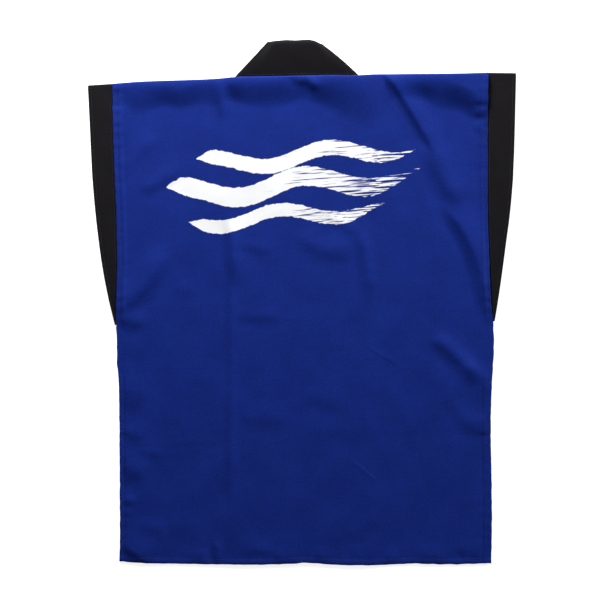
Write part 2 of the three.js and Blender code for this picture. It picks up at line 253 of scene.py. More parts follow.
class NodeOutline:
    """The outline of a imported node, seen from above."""

    corner_clearance = 4.0  # lines nearer to a corner than this would cross the side edges too
    margin = 0.01  # keeps a line off the outline's very tip, where it would cross nothing

    def __init__(self, node: bpy.types.Object) -> None:
        """Reads the node's mesh, which stays as it is.

        Args:
            node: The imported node's object.
        """
        mesh = node.data
        places = np.empty(len(mesh.vertices) * 3)
        mesh.vertices.foreach_get("co", places)
        world = np.array(node.matrix_world)
        places = places.reshape(-1, 3) @ world[:3, :3].T + world[:3, 3]
        ends = np.empty(len(mesh.edges) * 2, dtype=np.int32)
        mesh.edges.foreach_get("vertices", ends)
        self.plan = places[:, :2] / MM
        self.edges = self.plan[ends.reshape(-1, 2)]

    def extent(self, at: np.ndarray, axis: Axis) -> tuple[np.ndarray, np.ndarray]:
        """Finds where straight lines across the plan enter and leave the outline.

        Args:
            at: Where the lines are, along the given axis.
            axis: The axis that the lines cross.

        Returns:
            The lowest and the highest place of the outline on each line.
        """
        this, other = axis.value, 1 - axis.value
        first, last = self.edges[:, 0], self.edges[:, 1]
        span = self.plan[:, this]
        lows, highs = [], []
        for value in np.clip(at, span.min() + self.margin, span.max() - self.margin):
            crossing = (first[:, this] - value) * (last[:, this] - value) < 0
            begin, finish = first[crossing], last[crossing]
            t = (value - begin[:, this]) / (finish[:, this] - begin[:, this])
            places = mix(begin[:, other], finish[:, other], t)
            lows.append(places.min())
            highs.append(places.max())
        return np.array(lows), np.array(highs)

    def corner(self, right: bool, top: bool) -> np.ndarray:
        """Finds the outline's corner in one quarter of the plan."""
        score = self.plan[:, 0] * (1 if right else -1) + self.plan[:, 1] * (1 if top else -1)
        return self.plan[score.argmax()]

    def stretched(self, across: np.ndarray, along: np.ndarray) -> np.ndarray:
        """Stretches a grid between the four edges of a four-sided outline.

        Args:
            across: Shares from the left edge to the right.
            along: Shares from the bottom edge to the top.

        Returns:
            Plan places, rows by columns by two.
        """
        low_left, low_right = self.corner(False, False), self.corner(True, False)
        top_left, top_right = self.corner(False, True), self.corner(True, True)
        left_y = mix(low_left[1], top_left[1], along)
        right_y = mix(low_right[1], top_right[1], along)
        low_x = mix(low_left[0], low_right[0], across)
        top_x = mix(top_left[0], top_right[0], across)
        clear = self.corner_clearance
        low_y = self.extent(np.clip(low_x, low_left[0] + clear, low_right[0] - clear), Axis.X)[0]
        top_y = self.extent(np.clip(top_x, top_left[0] + clear, top_right[0] - clear), Axis.X)[1]
        left = np.stack([self.extent(left_y, Axis.Y)[0], left_y], axis=1)
        right = np.stack([self.extent(right_y, Axis.Y)[1], right_y], axis=1)
        low = np.stack([low_x, low_y], axis=1)
        top = np.stack([top_x, top_y], axis=1)
        left[0] = low[0] = low_left
        left[-1] = top[0] = top_left
        right[0] = low[-1] = low_right
        right[-1] = top[-1] = top_right
        u, v = across[None, :, None], along[:, None, None]
        sides = mix(left[:, None], right[:, None], u)
        ends = mix(low[None, :], top[None, :], v)
        corners = mix(mix(left[0], right[0], u), mix(left[-1], right[-1], u), v)
        return sides + ends - corners


def srgb(code: str) -> tuple[float, float, float, float]:
    """Turns an sRGB hex value into a linear colour.

    Args:
        code: Six hex digits, such as 1f3a9e.

    Returns:
        Red, green, blue and an alpha of 1.
    """
    channels = [int(code[n : n + 2], 16) / 255.0 for n in (0, 2, 4)]
    linear = [c / 12.92 if c <= 0.04045 else ((c + 0.055) / 1.055) ** 2.4 for c in channels]
    return (*linear, 1.0)


def add_node(tree: bpy.types.NodeTree, kind: str, inputs: dict[Any, Any], **settings: Any) -> bpy.types.Node:
    """Adds a shader node.

    Args:
        tree: The material's node tree.
        kind: The node's type.
        inputs: For each input, by name or number, a value or the socket that feeds it.
        settings: The node's own properties.

    Returns:
        The node.
    """
    node = tree.nodes.new(kind)
    for name, value in settings.items():
        setattr(node, name, value)
    for key, value in inputs.items():
        if isinstance(value, bpy.types.NodeSocket):
            tree.links.new(value, node.inputs[key])
        else:
            node.inputs[key].default_value = value
    return node


def new_material(name: str) -> tuple[bpy.types.Material, bpy.types.NodeTree, bpy.types.Node]:
    """Makes an empty material.

    Args:
        name: What the finish is.

    Returns:
        The material, its node tree and its Principled shader.
    """
    material = bpy.data.materials.new(name)
    material.use_nodes = True
    tree = material.node_tree
    tree.nodes.clear()
    shader = add_node(tree, "ShaderNodeBsdfPrincipled", {})
    add_node(tree, "ShaderNodeOutputMaterial", {"Surface": shader.outputs["BSDF"]})
    return material, tree, shader


@dataclass(frozen=True)
class BrushStroke:
    """One wave-shaped sweep of a broad brush, in opaque white screen ink."""

    x: float  # middle of the sweep, from the middle of the print
    y: float
    length: float
    width: float
    swing: float  # how far the wave goes to each side
    wavelength: float
    phase: float
    dryness: float  # how much of the sweep's tail breaks into bristle streaks


@dataclass(frozen=True)
class WavePrint:
    """A band of brushed wave lines, printed in white across the shoulders."""

    ink: str = "fcfdff"
    middle: tuple[float, float] = (-4.0, 186.0)
    rise: float = math.radians(4.5)
    edge_bite: float = 3.2  # how far the bristles' ends wander at a stroke's edge
    edge_softness: float = 0.9
    bite_scale: float = 0.11  # of the noise at a stroke's edge, in waves to a millimetre
    bristle: float = 2.6  # spacing of the bristle streaks
    bristle_length: float = 62.5  # how far a streak runs before it changes
    bristle_contrast: float = 14.0
    landing: float = 14.0  # how steeply the brush comes down, over a stroke's length
    lifting: float = 5.0  # how steeply it lifts off
    strokes: tuple[BrushStroke, ...] = (
        BrushStroke(x=14, y=47, length=352, width=25, swing=11, wavelength=196, phase=0.4, dryness=0.55),
        BrushStroke(x=-8, y=3, length=414, width=32, swing=13, wavelength=208, phase=1.1, dryness=0.7),
        BrushStroke(x=-22, y=-45, length=318, width=22, swing=10, wavelength=188, phase=2.0, dryness=0.6),
    )

    def mask(self, tree: bpy.types.NodeTree) -> bpy.types.NodeSocket:
        """Adds the nodes that say where the ink is.

        Args:
            tree: The cloth's node tree.

        Returns:
            The socket that is 1 on ink and 0 on bare cloth.
        """
        place = add_node(tree, "ShaderNodeTexCoord", {}).outputs["Object"]
        middle = tuple(value * MM for value in self.middle)
        turned = add_node(
            tree,
            "ShaderNodeMapping",
            {
                "Vector": place,
                "Location": (*middle, 0.0),
                "Rotation": (0.0, 0.0, self.rise),
                "Scale": (MM, MM, MM),
            },
            vector_type="TEXTURE",
        ).outputs[0]
        plan = add_node(tree, "ShaderNodeSeparateXYZ", {0: turned})
        bite = add_node(
            tree,
            "ShaderNodeTexNoise",
            {"Vector": turned, "Scale": self.bite_scale, "Detail": 4.0, "Roughness": 0.62},
        ).outputs[0]
        streak_place = add_node(
            tree,
            "ShaderNodeMapping",
            {"Vector": turned, "Scale": (1.0 / self.bristle_length, 1.0 / self.bristle, 1.0)},
        ).outputs[0]
        streak = add_node(
            tree,
            "ShaderNodeTexNoise",
            {"Vector": streak_place, "Scale": 1.0, "Detail": 3.0, "Roughness": 0.55},
        ).outputs[0]
        masks = [self.stroke_mask(tree, stroke, plan, bite, streak) for stroke in self.strokes]
        total = masks[0]
        for mask in masks[1:]:
            total = add_node(tree, MATH, {0: total, 1: mask}, operation="MAXIMUM").outputs[0]
        return total

    def stroke_mask(
        self,
        tree: bpy.types.NodeTree,
        stroke: BrushStroke,
        plan: bpy.types.Node,
        bite: bpy.types.NodeSocket,
        streak: bpy.types.NodeSocket,
    ) -> bpy.types.NodeSocket:
        """Adds the mask of one stroke.

        Args:
            tree: The cloth's node tree.
            stroke: The stroke.
            plan: The node that gives the place on the print, in millimetres.
            bite: Fine noise that makes the stroke's edge ragged.
            streak: Noise drawn out along the stroke, for its bristle streaks.

        Returns:
            The socket that is 1 inside the stroke.
        """
        x, y = plan.outputs["X"], plan.outputs["Y"]
        along = add_node(tree, MATH, {0: x, 1: stroke.x}, operation="SUBTRACT").outputs[0]
        turning = {0: along, 1: 2.0 * math.pi / stroke.wavelength, 2: stroke.phase}
        turn = add_node(tree, MATH, turning, operation="MULTIPLY_ADD").outputs[0]
        sine = add_node(tree, MATH, {0: turn}, operation="SINE").outputs[0]
        swinging = {0: sine, 1: stroke.swing, 2: stroke.y}
        wave = add_node(tree, MATH, swinging, operation="MULTIPLY_ADD").outputs[0]
        off_wave = add_node(tree, MATH, {0: y, 1: wave}, operation="SUBTRACT").outputs[0]
        across = add_node(tree, MATH, {0: off_wave}, operation="ABSOLUTE").outputs[0]
        # The brush lands broad, thins a little over the wave and lifts off in a long dry tail
        passed = {0: along, 1: 1.0 / stroke.length, 2: 0.5}
        share = add_node(tree, MATH, passed, operation="MULTIPLY_ADD").outputs[0]
        down = add_node(tree, MATH, {0: share, 1: self.landing}, operation="MULTIPLY").outputs[0]
        landed = add_node(tree, MATH, {0: down, 1: 1.0, 2: 0.5}, operation="SMOOTH_MIN").outputs[0]
        leaving = {0: share, 1: -self.lifting, 2: self.lifting}
        up = add_node(tree, MATH, leaving, operation="MULTIPLY_ADD").outputs[0]
        lifted = add_node(tree, MATH, {0: up, 1: 1.0, 2: 0.5}, operation="SMOOTH_MIN").outputs[0]
        pressed = add_node(tree, MATH, {0: landed, 1: lifted}, operation="MULTIPLY").outputs[0]
        breadth = add_node(tree, MATH, {0: pressed, 1: stroke.width / 2.0}, operation="MULTIPLY").outputs[0]
        biting = {0: bite, 1: 2.0 * self.edge_bite, 2: -self.edge_bite}
        ragged = add_node(tree, MATH, biting, operation="MULTIPLY_ADD").outputs[0]
        within = add_node(tree, MATH, {0: breadth, 1: across}, operation="SUBTRACT").outputs[0]
        inside = add_node(tree, MATH, {0: within, 1: ragged}, operation="ADD").outputs[0]
        solid = add_node(tree, MATH, {0: inside, 1: self.edge_softness}, operation="DIVIDE").outputs[0]
        body = add_node(tree, "ShaderNodeClamp", {0: solid}).outputs[0]
        # A quarter of the way along, the ink starts to run out, and the streaks open towards the tail
        dry = add_node(
            tree,
            "ShaderNodeMapRange",
            {
                "Value": share,
                "From Min": 0.25,
                "From Max": 1.0,
                "To Min": 0.2,
                "To Max": 0.2 + 0.5 * stroke.dryness,
            },
        ).outputs[0]
        inked = add_node(tree, MATH, {0: streak, 1: dry}, operation="SUBTRACT").outputs[0]
        crisp = add_node(tree, MATH, {0: inked, 1: self.bristle_contrast}, operation="MULTIPLY").outputs[0]
        bristles = add_node(tree, "ShaderNodeClamp", {0: crisp}).outputs[0]
        return add_node(tree, MATH, {0: body, 1: bristles}, operation="MULTIPLY").outputs[0]


@dataclass(frozen=True)
class FoldMark:
    """A short sharp fold, pressed into the cloth in its packet and too fine for the mesh."""

    middle: tuple[float, float]
    turn: float  # of its line from +X, in degrees
    length: float
    height: float
    above: float  # reach of the flank towards the collar
    below: float  # reach of the flank towards the hem
    fade_start: float = 0.35  # where the mark starts to fade, as a share of its half length

    def relief(self, tree: bpy.types.NodeTree) -> bpy.types.NodeSocket:
        """Adds the nodes for the mark's height.

        Args:
            tree: The cloth's node tree.

        Returns:
            The socket that is 1 on the mark's line and 0 away from it.
        """
        place = add_node(tree, "ShaderNodeTexCoord", {}).outputs["Object"]
        middle = tuple(value * MM for value in self.middle)
        turned = add_node(
            tree,
            "ShaderNodeMapping",
            {
                "Vector": place,
                "Location": (*middle, 0.0),
                "Rotation": (0.0, 0.0, math.radians(self.turn)),
                "Scale": (self.length / 2.0 * MM, MM, MM),
            },
            vector_type="TEXTURE",
        ).outputs[0]
        plan = add_node(tree, "ShaderNodeSeparateXYZ", {0: turned})
        x, y = plan.outputs["X"], plan.outputs["Y"]
        upward = add_node(tree, MATH, {0: y, 1: self.above}, operation="DIVIDE").outputs[0]
        downward = add_node(tree, MATH, {0: y, 1: -self.below}, operation="DIVIDE").outputs[0]
        away = add_node(tree, MATH, {0: upward, 1: downward}, operation="MAXIMUM").outputs[0]
        squared = add_node(tree, MATH, {0: away, 1: away}, operation="MULTIPLY").outputs[0]
        falling = add_node(tree, MATH, {0: squared, 1: -1.0}, operation="MULTIPLY").outputs[0]
        fall = add_node(tree, MATH, {0: falling}, operation="EXPONENT").outputs[0]
        along = add_node(tree, MATH, {0: x}, operation="ABSOLUTE").outputs[0]
        fade = add_node(
            tree,
            "ShaderNodeMapRange",
            {"Value": along, "From Min": self.fade_start, "From Max": 1.0, "To Min": 1.0, "To Max": 0.0},
        ).outputs[0]
        return add_node(tree, MATH, {0: fall, 1: fade}, operation="MULTIPLY").outputs[0]


@dataclass(frozen=True)
class TwillFinish:
    """Woven polyester twill: a smooth filament cloth with fine slanting ribs and a soft, low sheen."""

    name: str
    colour: str
    deep_colour: str  # where the dye looks deepest, in faint clouds
    rib_mm: float = 1.8  # real ribs are 0.4 mm apart; drawn coarser, so that they show from close by
    rib_slant: float = math.radians(52.0)
    relief_mm: float = 0.12
    relief_strength: float = 0.35
    pick_share: float = 0.6  # relief of single uneven threads, against the ribs'
    cloud_mm: float = 45.45  # size of the faint clouds in the dye
    slub_mm: tuple[float, float] = (16.67, 0.9091)  # length and width of a thicker stretch of thread
    fleck_mm: float = 3.704  # size of the finest unevenness in the dye
    slub_share: float = 0.3  # in the tone, against the clouds
    fleck_share: float = 0.5  # in the tone, against the clouds and slubs
    tone_range: tuple[float, float] = (0.4, 0.6)  # the noise that gives the deep and the plain colour
    roughness: float = 0.66
    specular: float = 0.09
    sheen: float = 0.015
    sheen_roughness: float = 0.4
    motif: WavePrint | None = None
    marks: tuple[FoldMark, ...] = ()

    def dye(self, tree: bpy.types.NodeTree, cloth: bpy.types.NodeSocket) -> bpy.types.NodeSocket:
        """Adds the nodes for the dyed cloth's colour, under any print.

        Args:
            tree: The cloth's node tree.
            cloth: The place on the flat cloth, in metres.

        Returns:
            The socket with the colour.
        """
        clouds = add_node(
            tree,
            "ShaderNodeTexNoise",
            {"Vector": cloth, "Scale": 1.0 / (self.cloud_mm * MM), "Detail": 3.0, "Roughness": 0.5},
        ).outputs[0]
        slub_scale = tuple(1.0 / (size * MM) for size in self.slub_mm)
        threads = add_node(
            tree, "ShaderNodeMapping", {"Vector": cloth, "Scale": (*slub_scale, 1.0)}
        ).outputs[0]
        slubs = add_node(
            tree, "ShaderNodeTexNoise", {"Vector": threads, "Scale": 1.0, "Detail": 2.0}
        ).outputs[0]
        flecks = add_node(
            tree,
            "ShaderNodeTexNoise",
            {"Vector": cloth, "Scale": 1.0 / (self.fleck_mm * MM), "Detail": 2.0, "Roughness": 0.6},
        ).outputs[0]
        tone = clouds
        for noise, part in ((slubs, self.slub_share), (flecks, self.fleck_share)):
            tone = add_node(
                tree, "ShaderNodeMix", {"Factor": part, "A": tone, "B": noise}, data_type="FLOAT"
            ).outputs[0]
        low, high = self.tone_range
        share = add_node(
            tree,
            "ShaderNodeMapRange",
            {"Value": tone, "From Min": low, "From Max": high, "To Min": 0.0, "To Max": 1.0},
        ).outputs[0]
        # Inputs 6 and 7 and output 2 of this node are its two colours and their blend
        dyes = {0: share, 6: srgb(self.deep_colour), 7: srgb(self.colour)}
        return add_node(tree, "ShaderNodeMix", dyes, data_type="RGBA").outputs[2]

    def weave(self, tree: bpy.types.NodeTree, cloth: bpy.types.NodeSocket) -> bpy.types.NodeSocket:
        """Adds the nodes for the ribs and the folds that are pressed into the cloth.

        Args:
            tree: The cloth's node tree.
            cloth: The place on the flat cloth, in metres.

        Returns:
            The socket with the bumped normal.
        """
        turned = add_node(
            tree, "ShaderNodeMapping", {"Vector": cloth, "Rotation": (0.0, 0.0, self.rib_slant)}
        ).outputs[0]
        # The wave texture has 20 radians to a unit
        ribs = add_node(
            tree,
            "ShaderNodeTexWave",
            {"Vector": turned, "Scale": 2.0 * math.pi / (20.0 * self.rib_mm * MM), "Distortion": 0.0},
            wave_type="BANDS",
            bands_direction="X",
        ).outputs["Fac"]
        picks = add_node(
            tree, "ShaderNodeTexNoise", {"Vector": cloth, "Scale": 1.0 / (self.rib_mm * MM), "Detail": 1.0}
        ).outputs[0]
        woven = {0: picks, 1: self.pick_share, 2: ribs}
        relief = add_node(tree, MATH, woven, operation="MULTIPLY_ADD").outputs[0]
        bump = add_node(
            tree,
            "ShaderNodeBump",
            {"Strength": self.relief_strength, "Distance": self.relief_mm * MM, "Height": relief},
        ).outputs[0]
        for mark in self.marks:
            bump = add_node(
                tree,
                "ShaderNodeBump",
                {"Strength": 1.0, "Distance": mark.height * MM, "Height": mark.relief(tree), "Normal": bump},
            ).outputs[0]
        return bump

    def material(self) -> bpy.types.Material:
        """Makes the cloth's material.

        Returns:
            The material, which reads the cloth's UV map and, for print and marks, the place on the vest.
        """
        material, tree, shader = new_material(self.name)
        cloth = add_node(tree, "ShaderNodeUVMap", {}, uv_map=CLOTH_UV).outputs[0]
        colour = self.dye(tree, cloth)
        if self.motif:
            printed = {0: self.motif.mask(tree), 6: colour, 7: srgb(self.motif.ink)}
            colour = add_node(tree, "ShaderNodeMix", printed, data_type="RGBA").outputs[2]
        tree.links.new(colour, shader.inputs["Base Color"])
        tree.links.new(self.weave(tree, cloth), shader.inputs["Normal"])
        shader.inputs["Roughness"].default_value = self.roughness
        shader.inputs["Specular IOR Level"].default_value = self.specular
        shader.inputs["Sheen Weight"].default_value = self.sheen
        shader.inputs["Sheen Roughness"].default_value = self.sheen_roughness
        return material


@dataclass(frozen=True)
class ThreadFinish:
    """Spun polyester sewing thread, two plies twisted together, a little glossier than the cloth."""

    name: str
    colour: str
    twist_mm: float = 2.0  # one turn of the plies; a real one is about 1.3 mm, drawn coarser to show
    ply_depth_mm: float = 0.1
    ply_strength: float = 0.5
    fuzz: float = 0.6  # how far the spun fibres blur the plies
    roughness: float = 0.5

    def material(self) -> bpy.types.Material:
        """Makes the thread's material.

        Returns:
            The material, which reads the place on the vest.
        """
        material, tree, shader = new_material(self.name)
        place = add_node(tree, "ShaderNodeTexCoord", {}).outputs["Object"]
        # A diagonal wave texture has 10 radians to a unit along each axis
        plies = add_node(
            tree,
            "ShaderNodeTexWave",
            {"Vector": place, "Scale": 2.0 * math.pi / (10.0 * self.twist_mm * MM), "Distortion": self.fuzz},
            bands_direction="DIAGONAL",
        ).outputs["Fac"]
        bump = add_node(
            tree,
            "ShaderNodeBump",
            {"Strength": self.ply_strength, "Distance": self.ply_depth_mm * MM, "Height": plies},
        ).outputs[0]
        tree.links.new(bump, shader.inputs["Normal"])
        shader.inputs["Base Color"].default_value = srgb(self.colour)
        shader.inputs["Roughness"].default_value = self.roughness
        return material


# Filament polyester, dyed in the piece: an even, deep royal blue, matt from straight above and with a
# soft low sheen where a crease turns to the light
BLUE_TWILL = TwillFinish("royal_blue_polyester_twill", colour="132d88", deep_colour="0f267b")
# The same cloth with opaque white ink pressed through a screen: flat, chalky white over the blue
PRINTED_TWILL = replace(
    BLUE_TWILL,
    name="royal_blue_polyester_twill_screen_printed",
    motif=WavePrint(),
    marks=(
        FoldMark(middle=(130.0, -87.0), turn=-31.0, length=74.0, height=0.24, above=6.0, below=1.3),
        FoldMark(middle=(100.0, -267.5), turn=-41.0, length=64.0, height=0.32, above=1.3, below=6.0),
    ),
)
# The same weave dyed black, pressed double: dense and flat, and a soft charcoal where lamps graze it
BLACK_TWILL = TwillFinish("black_polyester_twill_doubled", colour="18161a", deep_colour="141216")
# A shade deeper than the blue cloth: painted shade of the grooves that the stitches pull, so that the
# stitches read as small dark dimples
BLUE_THREAD = ThreadFinish(Thread.BLUE.value, colour="0a1c5c")
# Dyed a shade lighter than the black cloth, so that the stitches just catch the light
BLACK_THREAD = ThreadFinish(Thread.BLACK.value, colour="1f1d20")


@dataclass(frozen=True)
class ClothShell:
    """What turns a sheet of points into a finished cloth piece."""

    wall: float
    edge_round: float = 0.3
    edge_segments: int = 2
    edge_angle: float = math.radians(50.0)  # sharper edges than this are rounded
    sliver: float = 0.004  # edges shorter than this are closed up

    def build(
        self,
        name: str,
        points: np.ndarray,
        cloth: np.ndarray,
        materials: Sequence[bpy.types.Material],
    ) -> bpy.types.Object:
        """Builds a thin closed shell with rounded edges.

        Args:
            name: The piece's name.
            points: The middle of the wall, rows by columns by three.
            cloth: The same points on the flat cloth, rows by columns by two.
            materials: The outer face's material, and the inner face's and edge's.

        Returns:
            The piece's object.
        """
        rows, columns = points.shape[0] - 1, points.shape[1] - 1
        bm = bmesh.new()
        bmesh.ops.create_grid(bm, x_segments=columns, y_segments=rows, size=1.0)
        mesh = bpy.data.meshes.new(name)
        bm.to_mesh(mesh)
        bm.free()
        places = np.empty(len(mesh.vertices) * 3)
        mesh.vertices.foreach_get("co", places)
        places = (places.reshape(-1, 3) + 1.0) / 2.0
        column = np.rint(places[:, 0] * columns).astype(int)
        row = np.rint(places[:, 1] * rows).astype(int)
        mesh.vertices.foreach_set("co", (points[row, column] * MM).ravel())
        corner = np.empty(len(mesh.loops), dtype=np.int32)
        mesh.loops.foreach_get("vertex_index", corner)
        uv_map = mesh.uv_layers.new(name=CLOTH_UV)
        uv_map.data.foreach_set("uv", (cloth[row, column][corner] * MM).ravel())
        mesh.polygons.foreach_set("use_smooth", np.ones(len(mesh.polygons), dtype=bool))
        piece = bpy.data.objects.new(name, mesh)
        bpy.context.scene.collection.objects.link(piece)
        for material in materials:
            mesh.materials.append(material)
        shell = piece.modifiers.new("wall", "SOLIDIFY")
        shell.thickness = self.wall * MM
        shell.offset = 0.0
        shell.material_offset = len(materials) - 1
        shell.material_offset_rim = len(materials) - 1
        rounding = piece.modifiers.new("rounded_edge", "BEVEL")
        rounding.width = self.edge_round * MM
        rounding.segments = self.edge_segments
        rounding.limit_method = "ANGLE"
        rounding.angle_limit = self.edge_angle
        rounding.use_clamp_overlap = False
        finished = bpy.data.meshes.new_from_object(piece.evaluated_get(bpy.context.evaluated_depsgraph_get()))
        piece.modifiers.clear()
        piece.data = finished
        finished.name = name
        self.clear_slivers(finished)
        return piece

    def clear_slivers(self, mesh: bpy.types.Mesh) -> None:
        """Takes out the faces without area that the rounding leaves at sharp corners.

        Args:
            mesh: The finished shell's mesh.
        """
        bm = bmesh.new()
        bm.from_mesh(mesh)
        bmesh.ops.dissolve_degenerate(bm, dist=self.sliver * MM, edges=bm.edges)
        bm.to_mesh(mesh)
        bm.free()


def dress(piece: bpy.types.Object, node: str) -> None:
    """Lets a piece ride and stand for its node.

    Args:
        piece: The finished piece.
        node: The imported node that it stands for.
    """
    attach(piece, ROOT_BODY)
    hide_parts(node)
    LOG.info("%s stands for node %s, %d faces", piece.name, node, len(piece.data.polygons))


@dataclass
class Sewing:
    """Runs of machine stitches on finished pieces, all in one thread."""

    finish: ThreadFinish
    slot: Slot
    drop: float = 60.0  # the height from which the needle comes down
    sink: float = 0.3  # how far a stitch's middle lies above the cloth, as a share of its half thickness
    ball_segments: tuple[int, int] = (6, 4)  # of one stitch: a few faces, as there are hundreds
    places: list[Matrix] = field(default_factory=list)

    def sew(
        self,
        cloth: bpy.types.Object,
        path: np.ndarray,
        pitch: float = 3.2,
        length: float = 2.5,
        thickness: float = 0.55,
    ) -> None:
        """Sews a run of stitches along a path seen from above, down onto a piece.

        Args:
            cloth: The piece that the stitches lie on.
            path: Plan places along the run.
            pitch: From one needle hole to the next.
            length: What shows of a stitch.
            thickness: The thread's thickness.
        """
        tree = BVHTree.FromObject(cloth, bpy.context.evaluated_depsgraph_get())
        steps = np.hypot(*np.diff(path, axis=0).T)
        reached = np.concatenate([[0.0], np.cumsum(steps)])
        for begin in np.arange(0.0, reached[-1] - length, pitch):
            ends = []
            for at in (begin, begin + length):
                x, y = (np.interp(at, reached, path[:, n]) for n in (0, 1))
                hit = tree.ray_cast(Vector((x, y, self.drop)) * MM, Vector((0.0, 0.0, -1.0)))[0]
                if hit is not None:
                    ends.append(hit)
            if len(ends) == 2:
                self.add_stitch(*ends, thickness)

    def add_stitch(self, first: Vector, last: Vector, thickness: float) -> None:
        """Adds one stitch between two points of the cloth.

        Args:
            first: Where the thread comes up.
            last: Where it goes down.
            thickness: The thread's thickness.
        """
        run = last - first
        turn = run.to_track_quat("X", "Z").to_matrix().to_4x4()
        half = thickness * MM / 2.0
        size = Matrix.Diagonal((run.length / 2.0, half, half, 1.0))
        middle = Matrix.Translation((first + last) / 2.0 + Vector((0.0, 0.0, half * self.sink)))
        self.places.append(middle @ turn @ size)

    def finish_piece(self) -> bpy.types.Object:
        """Models every stitch as a small ball drawn out along the thread, and dresses them as one piece.

        Returns:
            The stitches' object.
        """
        name = self.finish.name + "_stitches"
        around, down = self.ball_segments
        mesh = bpy.data.meshes.new(name)
        seam = bmesh.new()
        for place in self.places:
            stitch = bmesh.new()
            bmesh.ops.create_uvsphere(stitch, u_segments=around, v_segments=down, radius=1.0, matrix=place)
            stitch.to_mesh(mesh)
            stitch.free()
            seam.from_mesh(mesh)
        seam.to_mesh(mesh)
        seam.free()
        mesh.polygons.foreach_set("use_smooth", np.ones(len(mesh.polygons), dtype=bool))
        mesh.materials.append(self.finish.material())
        piece = bpy.data.objects.new(name, mesh)
        bpy.context.scene.collection.objects.link(piece)
        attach(piece, ROOT_BODY)
        LOG.info("%s: %d stitches", name, len(self.places))
        return piece


@dataclass(frozen=True)
class Layers:
    """Where the middle of each layer of cloth lies above the surface."""

    body_wall: float = 1.0
    band_wall: float = 1.4
    collar_wall: float = 1.9
    front: float = 0.5
    back: float = 2.05
    back_over_collar: float = 2.95
    band_low: float = 0.7
    band_high: float = 2.4
    collar_low: float = 0.95
    collar_high: float = 4.5
    fold_depth: float = 1.4  # how far in the shoulder fold reaches its full height
    fold_reach: float = 30.0  # how far in a panel gives way for its wall at the shoulder fold
    fold_gap: float = 0.1  # half the gap between the back's and the front's edge in the shoulder fold

    def fold_height(self, distance: np.ndarray) -> np.ndarray:
        """How far up its quarter turn the shoulder fold is at a distance in, 0 to 1."""
        share = np.clip(distance / self.fold_depth, 0.0, 1.0)
        return np.sqrt(1.0 - (1.0 - share) ** 2)


LAYERS = Layers()
# Distances in from the shoulder fold, one for every 15 degrees of its quarter turn
FOLD_ROWS = tuple(LAYERS.fold_depth * (1.0 - math.cos(math.radians(15.0 * n))) for n in range(7))


